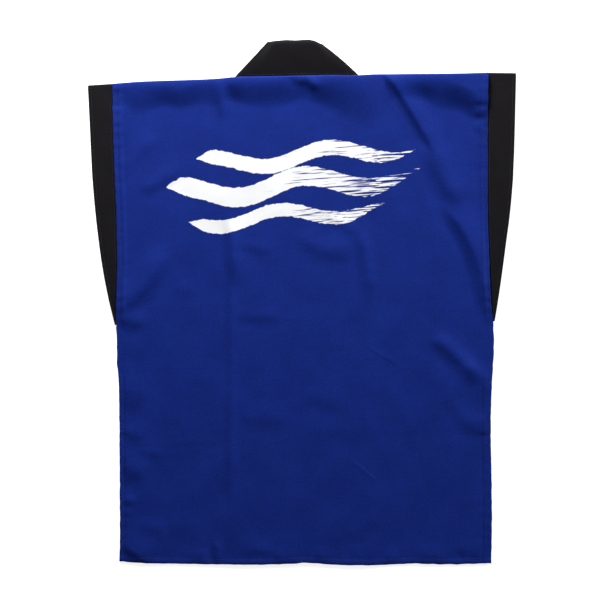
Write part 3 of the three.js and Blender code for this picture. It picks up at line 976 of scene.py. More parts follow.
@dataclass
class BackPanel:
    """The back: one width of twill from the shoulder fold to the hem, printed across the shoulders."""

    outline: NodeOutline
    column_spacing: float = 4.8
    row_spacing: float = 4.6
    # Closer grid lines, for the crisp folds: from where to where, and the spacing
    fine_x: tuple[tuple[float, float, float], ...] = ((-300, -215, 3.7), (-122, -98, 2.6), (130, 300, 2.5))
    fine_y: tuple[tuple[float, float, float], ...] = ((235, 376, 2.5), (-150, 165, 3.4), (-416, -385, 3.2))
    # The same for the sewn edges: how far in from the edge, and the spacing there
    fine_left: tuple[tuple[float, float], ...] = ((0.0, 0.6), (6.5, 1.0), (14.2, 1.2))
    fine_right: tuple[tuple[float, float], ...] = ((12.6, 1.0), (4.5, 1.0), (0.0, 0.6))
    fine_fold: tuple[tuple[float, float], ...] = ((0.0, 1.0), (25.0, 2.6))
    fine_hem: tuple[tuple[float, float], ...] = ((8.0, 1.4), (0.0, 0.7))
    # Beside the lengthways and the crossways fold from the packet: the place, and the spacing there
    fine_pack: dict[Axis, tuple[float, float]] = field(
        default_factory=lambda: {Axis.X: (-119.0, 1.8), Axis.Y: (-224.0, 1.2)}
    )
    side_hem: dict[Side, float] = field(default_factory=lambda: {Side.LEFT: 7.0, Side.RIGHT: 13.6})
    bottom_hem: float = 8.0
    slit_top: float = -112.0
    slit_blend: float = 8.0  # how far above and below it the side hem turns into the sewn side
    armhole_foot: float = -33.0
    hem_lift: float = 0.35
    # The arm bands' seam allowance, pressed under the back, and the line of stitches that holds it
    allowance: dict[Side, float] = field(default_factory=lambda: {Side.LEFT: 14.2, Side.RIGHT: 11.6})
    topstitch: dict[Side, float] = field(default_factory=lambda: {Side.LEFT: 6.0, Side.RIGHT: 4.5})
    allowance_lift: float = 0.9
    side_dip: float = 0.7  # how deep the lines of stitches pull the cloth in
    hem_dip: float = 0.2
    hem_roll: float = 0.5  # how far the hem's edge turns down
    roll_width: float = 1.4
    allowance_edge: float = 1.4  # over how much of its width the allowance's edge shows through
    stitch_groove: float = 1.3  # how wide a line of stitches pulls the cloth in
    pucker: float = 0.26  # height of the puckers along a line of stitches
    pucker_reach: float = 12.0
    pucker_stretch: float = 0.25  # how much less they change across the line than along it
    seam_start: tuple[float, float] = (6.0, 30.0)  # below and above the armhole's foot
    sewing_step: float = 6.0  # between the places that a line of stitches is led through
    sewing_top: float = 348.0  # where the topstitching ends, below the shoulder
    sewing_foot: float = 4.0  # how far above the hem the side hem's stitches start
    hem_run: tuple[float, float] = (-288.0, 300.0)  # the hem's line of stitches, along X
    hem_thread: float = 0.35  # thickness of the hem's stitches, which are pulled deep into the cloth
    crease_calm: float = 0.35  # how much of a crease is left at the side edges
    calm_reach: float = 14.0
    sway: float = 0.35  # how far the edges wander from a straight line
    sway_reach: float = 5.0
    broad_swell: float = 0.3  # broad unevenness of the whole back
    fine_swell: float = 0.07
    neck_left: float = -100.8
    neck_right: float = 84.4
    neck_edge: float = 3.3  # height of the edge that the collar is sewn to
    neck_blend: tuple[float, float] = (4.0, 8.0)  # outside and inside the neck's ends
    # How far outside the neck the back starts to rise over the collar, and is up
    collar_rise: tuple[float, float] = (50.0, 12.0)
    # Along the shoulder: how high the cloth puffs, where it starts to sink, and where it is flat again
    puff: tuple[tuple[float, float, float, float], ...] = (
        (-303, 0.8, 4, 20),
        (-282, 2.4, 4, 38),
        (-267, 4.0, 8, 58),
        (-243, 5.3, 7, 50),
        (-219, 6.1, 7, 44),
        (-195, 6.0, 10, 50),
        (-171, 6.0, 6, 47),
        (-150, 4.2, 5, 42),
        (-138, 4.6, 4, 54),
        (-125, 3.0, 3, 36),
        (-109, 7.2, 8, 42),
        (-83, 6.8, 5, 52),
        (-51, 6.9, 6, 54),
        (-19, 6.2, 5, 50),
        (-3, 5.2, 3, 40),
        (13, 6.6, 4, 44),
        (32, 7.8, 8, 52),
        (54, 8.0, 6, 62),
        (77, 7.6, 7, 80),
        (99, 7.6, 9, 88),
        (122, 4.0, 14, 92),
        (143, 1.7, 5, 40),
        (157, 3.0, 6, 40),
        (173, 6.8, 7, 41),
        (197, 8.2, 8, 44),
        (221, 8.6, 5, 60),
        (245, 10.6, 12, 60),
        (269, 9.8, 24, 72),
        (288, 6.3, 30, 84),
        (303, 4.8, 32, 86),
    )
    rim_rise: float = 0.75  # the last rise to the shoulder fold's rim
    rim_width: float = 9.0
    creases: tuple[Crease, ...] = (
        # Right shoulder, down over the shoulder blade
        Crease((134, 369), (170, 314), (212, 241), height=4.5, lit=20, lee=4.9, taper=0.2),
        Crease((207, 266), (226, 204), (258, 156), height=3.4, lit=20, lee=13),
        # Nape
        Crease((-18, 372), (-9, 361), (1, 346), height=2.0, lit=6, lee=5.5),
        Crease((-4, 371), (9, 358), (28, 339), height=2.3, lit=8, lee=6.5),
        # Left shoulder and chest
        Crease((-133, 366), (-130, 326), (-127, 284), height=2.8, lit=12, lee=7, taper=0.46),
        Crease((-294, 188), (-266, 236), (-222, 270), height=1.1, lit=16, lee=9),
        Crease((-262, 179), (-230, 194), (-190, 219), height=1.3, lit=12, lee=9),
        # Right armhole and flank
        Crease((224, 162), (279, 73), (299, -37), height=4.5, lit=28, lee=8.5),
        Crease((205, -51), (246, -83), (293, -132), height=2.35, lit=13, lee=11, taper=0.25),
        Crease((250, -98), (280, -116), (312, -138), height=1.6, lit=14, lee=40),
        Crease((224, -144), (244, -162), (262, -184), height=0.7, lit=14, lee=11),
        Crease((248, -176), (274, -192), (302, -197), height=1.5, lit=15, lee=12),
        Crease((272, 304), (285, 303), (299, 302), height=0.95, lit=9, lee=4.5),
        Crease((274, 281), (286, 280), (299, 279), height=0.85, lit=8, lee=4.5),
        Crease((274, 323), (286, 322), (299, 321), height=0.5, lit=8, lee=4),
        # Left armhole
        Crease((-318, -14), (-255, 25), (-208, 114), height=3.2, lit=25, lee=12, taper=0.36),
        Crease((-300, -24), (-275, -27), (-246, -33), height=2.0, lit=20, lee=11),
        # Middle of the back
        Crease((-6, 118), (34, 86), (92, 94), height=1.5, lit=20, lee=13, trough=0.1),
        Crease((92, 122), (103, 66), (108, 2), height=2.2, lit=12, lee=8),
        Crease((46, 140), (64, 128), (84, 106), height=0.9, lit=9, lee=8),
        Crease((-114, 146), (-109, 84), (-103, 18), height=3.0, lit=16, lee=7.5, taper=0.42),
        Crease((-100, 96), (-75, 89), (-44, 84), height=0.7, lit=10, lee=8),
        Crease((-210, 24), (-190, 22), (-168, 22), height=0.4, lit=12, lee=10),
        Crease((-118, -19), (-64, -20), (-30, -23), height=0.8, lit=12, lee=9),
        Crease((-104, -180), (-62, -183), (-6, -186), height=0.7, lit=16, lee=12),
        Crease((-4, -148), (28, -152), (62, -158), height=0.8, lit=14, lee=12),
        Crease((20, -196), (50, -202), (88, -208), height=0.5, lit=14, lee=12),
        # Left side below the armhole
        Crease((-292, -136), (-272, -142), (-244, -156), height=1.2, lit=24, lee=24),
        Crease((-293, -206), (-270, -209), (-248, -212), height=0.8, lit=14, lee=9),
        Crease((-262, -236), (-242, -238), (-224, -241), height=0.75, lit=8, lee=7),
        Crease((-293, -265), (-270, -267), (-244, -273), height=2.0, lit=22, lee=15),
        Crease((-293, -315), (-280, -317), (-266, -320), height=0.9, lit=8, lee=5),
        # Along the hem
        Crease((-296, -382), (-268, -398), (-240, -416), height=2.5, lit=40, lee=9),
        Crease((-262, -350), (-240, -357), (-214, -362), height=1.0, lit=10, lee=12),
        Crease((-214, -352), (-190, -352), (-158, -356), height=0.8, lit=16, lee=18),
        Crease((-137, -380), (-136, -398), (-135, -416), height=2.0, lit=6, lee=4.5),
        Crease((-104, -392), (-74, -394), (-42, -397), height=0.8, lit=12, lee=8),
        Crease((66, -374), (97, -356), (122, -337), height=0.9, lit=12, lee=13),
        Crease((-182, -404), (-166, -407), (-150, -408), height=0.9, lit=11, lee=7),
        Crease((-51, -405), (-28, -406), (-6, -404), height=0.8, lit=13, lee=8),
        Crease((20, -400), (32, -405), (47, -412), height=1.0, lit=12, lee=7),
        Crease((129, -404), (142, -407), (159, -405), height=0.9, lit=12, lee=7),
        Crease((176, -402), (206, -405), (238, -403), height=0.8, lit=14, lee=9),
        Crease((243, -388), (268, -392), (296, -394), height=1.0, lit=18, lee=12),
        # Where the vest was folded in its packet
        Crease((-284, -228), (-210, -224), (-134, -223), height=0.2, lit=2.4, lee=2.2, taper=0.1),
        Crease((-114, 118), (-112, -110), (-114, -336), height=1.15, lit=9, lee=6.5, taper=0.14),
    )

    def grid_lines(self) -> tuple[np.ndarray, np.ndarray]:
        """Spaces the grid over the panel.

        Returns:
            Shares across from the left edge, and distances in from the shoulder fold.
        """
        left, top = self.outline.corner(False, False)[0], self.outline.corner(False, True)[1]
        width = self.outline.corner(True, False)[0] - left
        fine = [*self.fine_left, *((width - inset, step) for inset, step in self.fine_right)]
        at, step = self.fine_pack[Axis.X]
        fine.append((at - left, step))
        zones = [(first - left, last - left, step) for first, last, step in self.fine_x]
        columns = graded(width, self.column_spacing, fine, zones) / width
        length, start = self.length(), LAYERS.fold_depth
        fine = [*self.fine_fold, *((length - inset, step) for inset, step in self.fine_hem)]
        at, step = self.fine_pack[Axis.Y]
        fine.append((top - at, step))
        fine = [(at - start, step) for at, step in fine]
        zones = [(top - last - start, top - first - start, step) for first, last, step in self.fine_y]
        below = graded(length - start, self.row_spacing, fine, zones)
        return columns, np.concatenate([FOLD_ROWS[:-1], start + below])

    def length(self) -> float:
        """The panel's length from shoulder fold to hem, in its middle."""
        low, high = self.outline.extent(np.array([0.0]), Axis.X)
        return float(high[0] - low[0])

    def puffed(self, x: np.ndarray) -> tuple[np.ndarray, np.ndarray, np.ndarray]:
        """Reads the puff table, smoothed, at places along the shoulder.

        Args:
            x: Places along X.

        Returns:
            The puff's height at each place, where it starts to sink, and where the cloth is flat.
        """
        table = np.array(self.puff, dtype=float)
        beyond = 60.0
        fine = np.arange(table[0, 0] - beyond, table[-1, 0] + beyond, 1.0)
        weights = blur_weights(reach=30, softness=7.0)
        height, crest, end = (
            np.interp(x, fine, np.convolve(np.interp(fine, table[:, 0], values), weights, mode="same"))
            for values in table.T[1:]
        )
        return height, crest, end

    def rest(self, x: np.ndarray) -> np.ndarray:
        """Works out the height at which the back lies, a little higher over the collar's front runs.

        Args:
            x: Places along X.

        Returns:
            The height at each place, without puff or creases.
        """
        far, near = self.collar_rise
        past_left = ease(x, self.neck_left - far, self.neck_left - near)
        before_right = 1.0 - ease(x, self.neck_right + near, self.neck_right + far)
        return mix(LAYERS.back, LAYERS.back_over_collar, past_left * before_right)

    def fold_middle(self, x: np.ndarray) -> np.ndarray:
        """Works out the height halfway round the shoulder fold, and of the edge at the neck.

        Args:
            x: Places along X.

        Returns:
            The height at each place.
        """
        shoulder = (self.rest(x) + self.puffed(x)[0] - self.rim_rise + LAYERS.front) / 2.0
        outside, inside = self.neck_blend
        past_left = ease(x, self.neck_left - outside, self.neck_left + inside)
        before_right = 1.0 - ease(x, self.neck_right - inside, self.neck_right + outside)
        return mix(shoulder, self.neck_edge, past_left * before_right)

    def sewn_edge(
        self, distance: np.ndarray, width: float, along: np.ndarray, ripples: Ripples, depth: float
    ) -> np.ndarray:
        """Works out the relief of a turned and stitched edge.

        Args:
            distance: How far in from the edge.
            width: Where the line of stitches is.
            along: The place along the edge.
            ripples: The unevenness of the puckers.
            depth: How deep the stitches pull the cloth in.

        Returns:
            The height that the hem, its stitches and their puckers add.
        """
        doubled = self.hem_lift * (1.0 - ease(distance, width - 0.5, width + 1.6))
        dip = -depth * np.exp(-(((distance - width) / self.stitch_groove) ** 2))
        near_stitches = np.exp(-((distance - width) / self.pucker_reach) ** 2)
        puckers = self.pucker * ripples.at(along, distance * self.pucker_stretch) * near_stitches
        return doubled + dip + puckers

    def surface(
        self, place: np.ndarray, distance: np.ndarray, sides: tuple[np.ndarray, np.ndarray]
    ) -> np.ndarray:
        """Works out the height of the middle of the wall.

        Args:
            place: Plan places, rows by columns by two.
            distance: Distances in from the shoulder fold.
            sides: Distances in from the left and right edges.

        Returns:
            The height at each place.
        """
        x, y = place[..., 0], place[..., 1]
        height, crest, end = self.puffed(x)
        rest = self.rest(x)
        sunk = ease(distance, crest, end)
        rim = np.clip(1.0 - distance / self.rim_width, 0.0, 1.0) ** 2
        body = rest + height * (1.0 - sunk) - self.rim_rise * rim
        calm = mix(self.crease_calm, 1.0, ease(np.minimum(*sides), 0.0, self.calm_reach))
        for crease in self.creases:
            body = body + crease.height_at(x, y) * calm
        body = body + self.broad_swell * Ripples(seed=7, shortest=48, longest=120).at(x, y)
        body = body + self.fine_swell * Ripples(seed=11, shortest=14, longest=34, count=12).at(x, y)
        puckers = Ripples(seed=19, shortest=8, longest=17, count=7)
        below = 1.0 - ease(y, self.slit_top - self.slit_blend, self.slit_top + self.slit_blend)
        before, after = self.seam_start
        seamed = (1.0 - below) * ease(y, self.armhole_foot - before, self.armhole_foot + after)
        for side, edge in zip((Side.LEFT, Side.RIGHT), sides):
            body = body + below * self.sewn_edge(edge, self.side_hem[side], y, puckers, self.side_dip)
            # Read 40 mm further along, so that these puckers differ from the hem's
            stitched = self.sewn_edge(edge, self.topstitch[side], y + 40.0, puckers, self.side_dip)
            width = self.allowance[side]
            past = ease(edge, width - self.allowance_edge, width + self.allowance_edge)
            pressed = self.allowance_lift * (1.0 - past)
            body = body + seamed * (stitched + pressed)
        hem = self.length() - distance
        body = body + self.sewn_edge(hem, self.bottom_hem, x, puckers, self.hem_dip)
        body = body - self.hem_roll * np.exp(-((hem / self.roll_width) ** 2))
        return mix(self.fold_middle(x) + LAYERS.fold_gap, body, LAYERS.fold_height(distance))

    def build(self) -> bpy.types.Object:
        """Builds and dresses the back.

        Returns:
            The back's object.
        """
        across, distances = self.grid_lines()
        distances = distances[::-1]
        length = distances[0]
        along = 1.0 - distances / length
        place = self.outline.stretched(across, along)
        left = place[..., 0] - place[:, :1, 0]
        right = place[:, -1:, 0] - place[..., 0]
        distance = np.broadcast_to(distances[:, None], left.shape)
        height = self.surface(place, distance, (left, right))
        wobble = Ripples(seed=23, shortest=11, longest=38, count=7)
        near_side = np.exp(-np.minimum(left, right) / self.sway_reach)
        place[..., 0] += self.sway * near_side * wobble.at(place[..., 1], np.zeros(left.shape))
        place[..., 1] -= LAYERS.body_wall / 2.0 * (1.0 - ease(distance, 0.0, LAYERS.fold_reach))
        near_hem = np.exp(-(length - distance) / self.sway_reach)
        place[..., 1] += self.sway * near_hem * wobble.at(place[..., 0], np.full(left.shape, 40.0))
        points = np.concatenate([place, height[..., None]], axis=2)
        materials = [PRINTED_TWILL.material(), BLUE_TWILL.material()]
        piece = ClothShell(LAYERS.body_wall).build("back_panel", points, place, materials)
        dress(piece, "back")
        return piece

    def edge_path(self, side: Side, inset: float, low: float, high: float) -> np.ndarray:
        """Follows a side edge at a distance in.

        Args:
            side: Which side edge.
            inset: The distance in from it.
            low: Where the path starts along Y.
            high: Where it ends.

        Returns:
            Plan places from low to high.
        """
        y = np.arange(low, high, self.sewing_step)
        lowest, highest = self.outline.extent(y, Axis.Y)
        edge = lowest + inset if side is Side.LEFT else highest - inset
        return np.stack([edge, y], axis=1)

    def sew(self, piece: bpy.types.Object, blue: Sewing) -> None:
        """Sews the hems and the topstitching beside the arm bands.

        Args:
            piece: The finished back.
            blue: The sewing in blue thread.
        """
        hem_y = self.outline.corner(False, False)[1]
        for side in Side:
            hem = self.edge_path(side, self.side_hem[side], hem_y + self.sewing_foot, self.slit_top)
            seam = self.edge_path(side, self.topstitch[side], self.armhole_foot, self.sewing_top)
            blue.sew(piece, hem)
            blue.sew(piece, seam)
        x = np.arange(*self.hem_run, self.sewing_step)
        lowest, _ = self.outline.extent(x, Axis.X)
        bottom = np.stack([x, lowest + self.bottom_hem], axis=1)
        blue.sew(piece, bottom, thickness=self.hem_thread)


@dataclass
class FrontPanel:
    """One front: it lies face down on the surface, from the shoulder fold to the hem."""

    side: Side
    outline: NodeOutline
    spacing: float = 7.0
    edge_spacing: float = 1.0  # of the grid at the side edges and the hem
    fold_spacing: float = 1.5  # of the grid below the shoulder fold
    peek: float = 2.2  # how far the right front's lower corner slips out from under the back
    peek_reach: float = 14.0
    square_metres: dict[Side, float] = field(default_factory=lambda: {Side.LEFT: 0.17, Side.RIGHT: 0.18})

    def build(self) -> bpy.types.Object:
        """Builds and dresses the front.

        Returns:
            The front's object.
        """
        low_left, low_right = self.outline.corner(False, False), self.outline.corner(True, False)
        width = low_right[0] - low_left[0]
        length = self.outline.corner(False, True)[1] - low_left[1]
        edge = self.edge_spacing
        across = graded(width, self.spacing, [(0.0, edge), (width, edge)]) / width
        start = LAYERS.fold_depth
        below = graded(length - start, self.spacing, [(0.0, self.fold_spacing), (length - start, edge)])
        distances = np.concatenate([FOLD_ROWS[:-1], start + below])[::-1]
        place = self.outline.stretched(across, 1.0 - distances / distances[0])
        distance = np.broadcast_to(distances[:, None], place.shape[:2])
        x = place[..., 0]
        fold_edge = BackPanel(self.outline).fold_middle(x) - LAYERS.fold_gap
        height = mix(fold_edge, LAYERS.front, LAYERS.fold_height(distance))
        if self.side is Side.RIGHT:
            away = np.hypot(x - low_right[0], place[..., 1] - low_right[1])
            slip = self.peek * np.exp(-away / self.peek_reach)
            place[..., 0] += slip
            place[..., 1] -= slip
        place[..., 1] -= LAYERS.body_wall / 2.0 * (1.0 - ease(distance, 0.0, LAYERS.fold_reach))
        points = np.concatenate([place, height[..., None]], axis=2)[:, ::-1]
        cloth = place[:, ::-1].copy()
        name = f"front_{self.side.name.lower()}"
        piece = ClothShell(LAYERS.body_wall).build(name + "_panel", points, cloth, [BLUE_TWILL.material()])
        dress(piece, name)
        return piece


@dataclass
class ArmBand:
    """A doubled black band sewn round an armhole, over the shoulder and down the front."""

    side: Side
    outline: NodeOutline
    back: NodeOutline
    seam_gap: float = 0.3  # in front
    seam_tuck: float = 1.2  # how far the band reaches under the back's edge
    seam_sink: float = 0.95  # how deep the band dips to pass under the back's edge
    sink_width: tuple[float, float] = (0.2, 2.4)  # inside and outside the body's edge
    columns: int = 18
    row_spacing: float = 4.0
    fold_steps: int = 8
    foot_clear: float = 0.2  # from the outline's lowest tip to the band's foot
    front_inset: float = 0.8
    drop_reach: float = 60.0  # how far below the fold the band starts to slant down outwards
    fold_reach: float = 30.0  # how far below the fold the two halves give way for it
    shoulder_clear: float = 4.0  # how far below the shoulder line the outline is read, and the lines end
    waviness: float = 0.16
    edge_line: float = 5.0  # from the outer edge to its line of stitches
    seam_line: float = 3.0  # from the seam to its line of stitches
    line_dip: float = 0.3
    line_groove: float = 1.2
    narrowest_sewn: float = 14.0  # where the band is narrower, its lines of stitches end
    square_metres: dict[Side, float] = field(default_factory=lambda: {Side.LEFT: 0.0235, Side.RIGHT: 0.027})

    def half(self, lift: float, gap: float, inset: float) -> np.ndarray:
        """Lays out the half of the band on the back or on the front, from its foot up.

        Args:
            lift: The height of the middle of the wall.
            gap: How far the inner edge lies outside the body's edge.
            inset: How far the outer edge lies inside the band's outline.

        Returns:
            Points, rows by columns by three, from the seam to the outer edge.
        """
        foot, top = self.outline.plan[:, 1].min() + self.foot_clear, self.seam_top()
        y = np.linspace(foot, top, int((top - foot) / self.row_spacing))
        picked = 0 if self.side is Side.LEFT else 1
        seam = self.back.extent(y, Axis.Y)[picked] + self.side.value * gap
        reading = np.minimum(y, top - self.shoulder_clear)
        outer = self.outline.extent(reading, Axis.Y)[picked] - self.side.value * inset
        across = np.linspace(0.0, 1.0, self.columns + 1)
        x = mix(seam[:, None], outer[:, None], across[None])
        near_top = ease(y, top - self.drop_reach, top)[:, None]
        drop = (self.seam_top() - self.outer_top()) * across[None] * near_top
        return np.stack([x, y[:, None] - drop, np.full(x.shape, lift)], axis=2)

    def seam_top(self) -> float:
        """The height along Y of the shoulder fold at the seam."""
        x = self.back.corner(self.side is Side.RIGHT, True)[0] + self.side.value
        return float(self.outline.extent(np.array([x]), Axis.X)[1][0])

    def outer_top(self) -> float:
        """The height along Y of the shoulder fold at the outer edge."""
        return float(self.outline.corner(self.side is Side.RIGHT, True)[1])

    def folded(self) -> tuple[np.ndarray, int]:
        """Lays out the band from its foot on the back, over the shoulder, to its foot in front.

        Returns:
            Points, rows by columns by three, from the seam to the outer edge, and the number of rows
            on the back.
        """
        radius = (LAYERS.band_high - LAYERS.band_low) / 2.0
        reach = radius + LAYERS.band_wall / 2.0
        back_half = self.half(LAYERS.band_high, -self.seam_tuck, 0.0)
        front_half = self.half(LAYERS.band_low, self.seam_gap, self.front_inset)[::-1]
        for half in (back_half, front_half):
            top = half[..., 1].max(axis=0)[None]
            half[..., 1] -= reach * (1.0 - np.clip((top - half[..., 1]) / self.fold_reach, 0.0, 1.0))
        middle = (LAYERS.band_high + LAYERS.band_low) / 2.0
        fold = []
        for turn in np.linspace(0.0, math.pi, self.fold_steps + 1)[1:-1]:
            row = mix(back_half[-1], front_half[0], turn / math.pi)
            row[:, 1] += radius * math.sin(turn)
            row[:, 2] = middle + radius * math.cos(turn)
            fold.append(row)
        return np.concatenate([back_half, np.array(fold), front_half]), len(back_half)

    def relief(self, points: np.ndarray, back_rows: int) -> np.ndarray:
        """Works out the waves, the line of stitches and the seam's dip on the half that shows.

        Args:
            points: The band's points.
            back_rows: How many of its rows lie on the back.

        Returns:
            The height that they add at each point.
        """
        x, y, z = (points[..., n] for n in range(3))
        from_seam, from_edge = np.abs(x - x[:, :1]), np.abs(x[:, -1:] - x)
        wave = self.waviness * Ripples(seed=31 + self.side.value, shortest=26, longest=70).at(x, y)
        line = self.line_dip * np.exp(-(((from_edge - self.edge_line) / self.line_groove) ** 2))
        inside, outside = self.sink_width
        sunk = 1.0 - ease(from_seam, self.seam_tuck - inside, self.seam_tuck + outside)
        added = (wave - line) * ease(np.minimum(from_seam, from_edge), 0.0, 3.0) - self.seam_sink * sunk
        past_fold = np.clip(np.arange(len(points)) - back_rows, 0, self.fold_steps) / self.fold_steps
        facing_up = np.clip(np.cos(past_fold * math.pi), 0.0, 1.0)[:, None]
        return added * facing_up * (z > (LAYERS.band_high + LAYERS.band_low) / 2.0)

    def build(self) -> bpy.types.Object:
        """Builds and dresses the band.

        Returns:
            The band's object.
        """
        points, back_rows = self.folded()
        steps = np.hypot(*np.diff(points[:, 0, :2], axis=0).T)
        run = np.concatenate([[0.0], np.cumsum(steps)])
        width = np.abs(points[..., 0] - points[:, :1, 0])
        cloth = np.stack([width, np.broadcast_to(run[:, None], width.shape)], axis=2)
        points[..., 2] += self.relief(points, back_rows)
        if self.side is Side.LEFT:
            points, cloth = points[:, ::-1], cloth[:, ::-1]
        name = f"arm_band_{self.side.name.lower()}"
        shell = ClothShell(LAYERS.band_wall, edge_round=0.5)
        piece = shell.build(name + "_cloth", points, cloth, [BLACK_TWILL.material()])
        dress(piece, name)
        return piece

    def sew(self, piece: bpy.types.Object, black: Sewing) -> None:
        """Sews the lines beside the seam and inside the outer edge, on the side that shows.

        Args:
            piece: The finished band.
            black: The sewing in black thread.
        """
        half = self.half(0.0, 0.0, 0.0)
        wide = np.abs(half[:, -1, 0] - half[:, 0, 0]) > self.narrowest_sewn
        for edge, inset in ((half[:, 0], self.seam_line), (half[:, -1], -self.edge_line)):
            path = edge[wide, :2].copy()
            path[:, 0] += self.side.value * inset
            black.sew(piece, path[path[:, 1] < self.outer_top() - self.shoulder_clear])


@dataclass
class Collar:
    """The long doubled collar band: up one front, across the nape and down the other front."""

    back: NodeOutline
    neck_left: float = -105.0
    neck_right: float = 88.2
    swell: float = 2.8  # how far the nape stands proud at its free edge
    seam_sink: float = 1.9  # how deep the nape dips to pass under the back's edge
    seam_tuck: float = 1.1  # how far the collar reaches under the back's edge
    topstitch: float = 2.6
    centre_front: float = 3.0  # where the two front runs nearly meet, along X
    centre_gap: float = 5.0
    fold_bow: float = 1.5  # how far the right slanting fold bows outward in its middle
    fold_tip: float = 0.2  # how round a slanting fold is at its tip, as a share of its seam end
    width: float = 54.0
    hem_y: float = -415.0
    # Spacing across the band, and at its two edges, as shares of its width
    column_share: float = 0.06
    edge_share: float = 0.012
    run_rows: int = 110
    turn_rows: int = 8
    nape_rows: int = 70
    sewn_from: float = 0.03  # where the topstitching starts and stops short of the seam's ends, as a share
    swell_fade: float = 0.16  # over what share of the nape the swell fades at each end
    bow_fade: float = 14.0  # over how many rows the fold's bow fades
    dip_curve: float = 1.6  # above 1, the nape dips late, close to its seam
    calm_share: float = 0.12  # over what share of the width the waves fade in from the edges
    crown_share: float = 0.1  # over what share of the width the nape reaches its full swell
    waviness: float = 0.25
    # Free edge of the nape, from left to right
    nape_edge: tuple[tuple[float, float], ...] = (
        (-53.6, 416.9),
        (-40.0, 418.4),
        (-25.6, 419.6),
        (-10.0, 419.0),
        (9.6, 420.3),
        (19.0, 418.6),
        (30.6, 413.2),
    )

    def nape_share(self, count: int) -> np.ndarray:
        """Works out how much of the nape's swell each row has: it fades towards the slanting folds.

        Args:
            count: How many rows the band has.

        Returns:
            A share for each row.
        """
        row = np.arange(count) - self.run_rows - self.turn_rows
        share = np.clip(row / self.nape_rows, 0.0, 1.0)
        return ease(np.minimum(share, 1.0 - share), 0.0, self.swell_fade)

    def seam(self, share: np.ndarray) -> np.ndarray:
        """Follows the neck seam from left to right.

        Args:
            share: Shares of the way along it.

        Returns:
            Plan places.
        """
        x = mix(self.neck_left, self.neck_right, share)
        y = self.back.extent(x, Axis.X)[1] - self.seam_tuck
        return np.stack([x, y], axis=1)

    def free(self, share: np.ndarray) -> np.ndarray:
        """Follows the nape's free edge from left to right, its points joined by a soft curve.

        Args:
            share: Shares of the way along it.

        Returns:
            Plan places.
        """
        edge = np.array(self.nape_edge)
        steps = np.concatenate([[0.0], np.cumsum(np.hypot(*np.diff(edge, axis=0).T))])
        fine = np.linspace(0.0, steps[-1], 200)
        reach = 12
        weights = blur_weights(reach, softness=5.0)
        out = []
        for values in edge.T:
            drawn = np.interp(fine, steps, values)
            # Carried on past both ends, mirrored through them, so that the curve keeps them
            before = 2 * drawn[0] - drawn[reach:0:-1]
            after = 2 * drawn[-1] - drawn[-2 : -reach - 2 : -1]
            smooth = np.convolve(np.concatenate([before, drawn, after]), weights, mode="valid")
            out.append(np.interp(share * steps[-1], fine, smooth))
        return np.stack(out, axis=1)

    def ends(self, side: Side) -> tuple[np.ndarray, np.ndarray]:
        """The seam's and the free edge's place at one side of the neck."""
        share = np.array([0.0 if side is Side.LEFT else 1.0])
        return self.seam(share)[0], self.free(share)[0]

    def run(self, side: Side) -> tuple[np.ndarray, np.ndarray]:
        """Follows the seam and the free edge of a front run, from the hem up.

        Args:
            side: Which front run.

        Returns:
            Plan places along the seam, and along the free edge.
        """
        t = np.linspace(0.0, 1.0, self.run_rows + 1)[:, None]
        seam_top, free_top = self.ends(side)
        centre = self.centre_front + side.value * self.centre_gap / 2.0
        free_low = np.array([centre, self.hem_y])
        seam_low = np.array([centre + side.value * self.width, self.hem_y])
        return mix(seam_low, seam_top, t), mix(free_low, free_top, t)

    def outward(self, side: Side) -> np.ndarray:
        """Works out the way out of the neck, square to a slanting fold, in the plan.

        Args:
            side: Which slanting fold.

        Returns:
            A direction of length 1.
        """
        seam, free = self.ends(side)
        run = free - seam
        return np.array([run[1], -run[0]]) / np.hypot(*run) * side.value

    def bow(self, count: int) -> np.ndarray:
        """Works out how far each row is pushed outward: the most at the right slanting fold.

        Args:
            count: How many rows the band has.

        Returns:
            A distance for each row.
        """
        half_turn = self.turn_rows / 2.0
        from_fold = np.abs(np.arange(count) - (count - 1 - self.run_rows - half_turn))
        return self.fold_bow * (1.0 - ease(from_fold, half_turn, half_turn + self.bow_fade))

    def turn(self, side: Side) -> tuple[np.ndarray, np.ndarray, np.ndarray]:
        """Lays out the turn round a slanting fold, from the front run up to the nape.

        Args:
            side: Which slanting fold.

        Returns:
            The seam, the free edge and the height of each row.
        """
        seam, free = self.ends(side)
        radius = (LAYERS.collar_high - LAYERS.collar_low) / 2.0
        angle = np.linspace(0.0, math.pi, self.turn_rows + 1)[1:-1, None]
        shift = self.outward(side) * radius * np.sin(angle)
        height = LAYERS.collar_low + radius * (1.0 - np.cos(angle[:, 0]))
        return seam + shift, free + self.fold_tip * shift, height

    def rows(self) -> tuple[np.ndarray, np.ndarray, np.ndarray]:
        """Lays out the band from the left front's hem, round the nape, to the right front's.

        Returns:
            The seam, the free edge and the height of each row.
        """
        share = np.linspace(0.0, 1.0, self.nape_rows + 1)
        nape_seam, nape_free = self.seam(share), self.free(share)
        left_run, right_run = self.run(Side.LEFT), self.run(Side.RIGHT)
        left_turn, right_turn = self.turn(Side.LEFT), self.turn(Side.RIGHT)
        seam = np.concatenate([left_run[0], left_turn[0], nape_seam, right_turn[0][::-1], right_run[0][::-1]])
        free = np.concatenate([left_run[1], left_turn[1], nape_free, right_turn[1][::-1], right_run[1][::-1]])
        low = np.full(self.run_rows + 1, LAYERS.collar_low)
        high = np.full(self.nape_rows + 1, LAYERS.collar_high)
        return seam, free, np.concatenate([low, left_turn[2], high, right_turn[2][::-1], low])

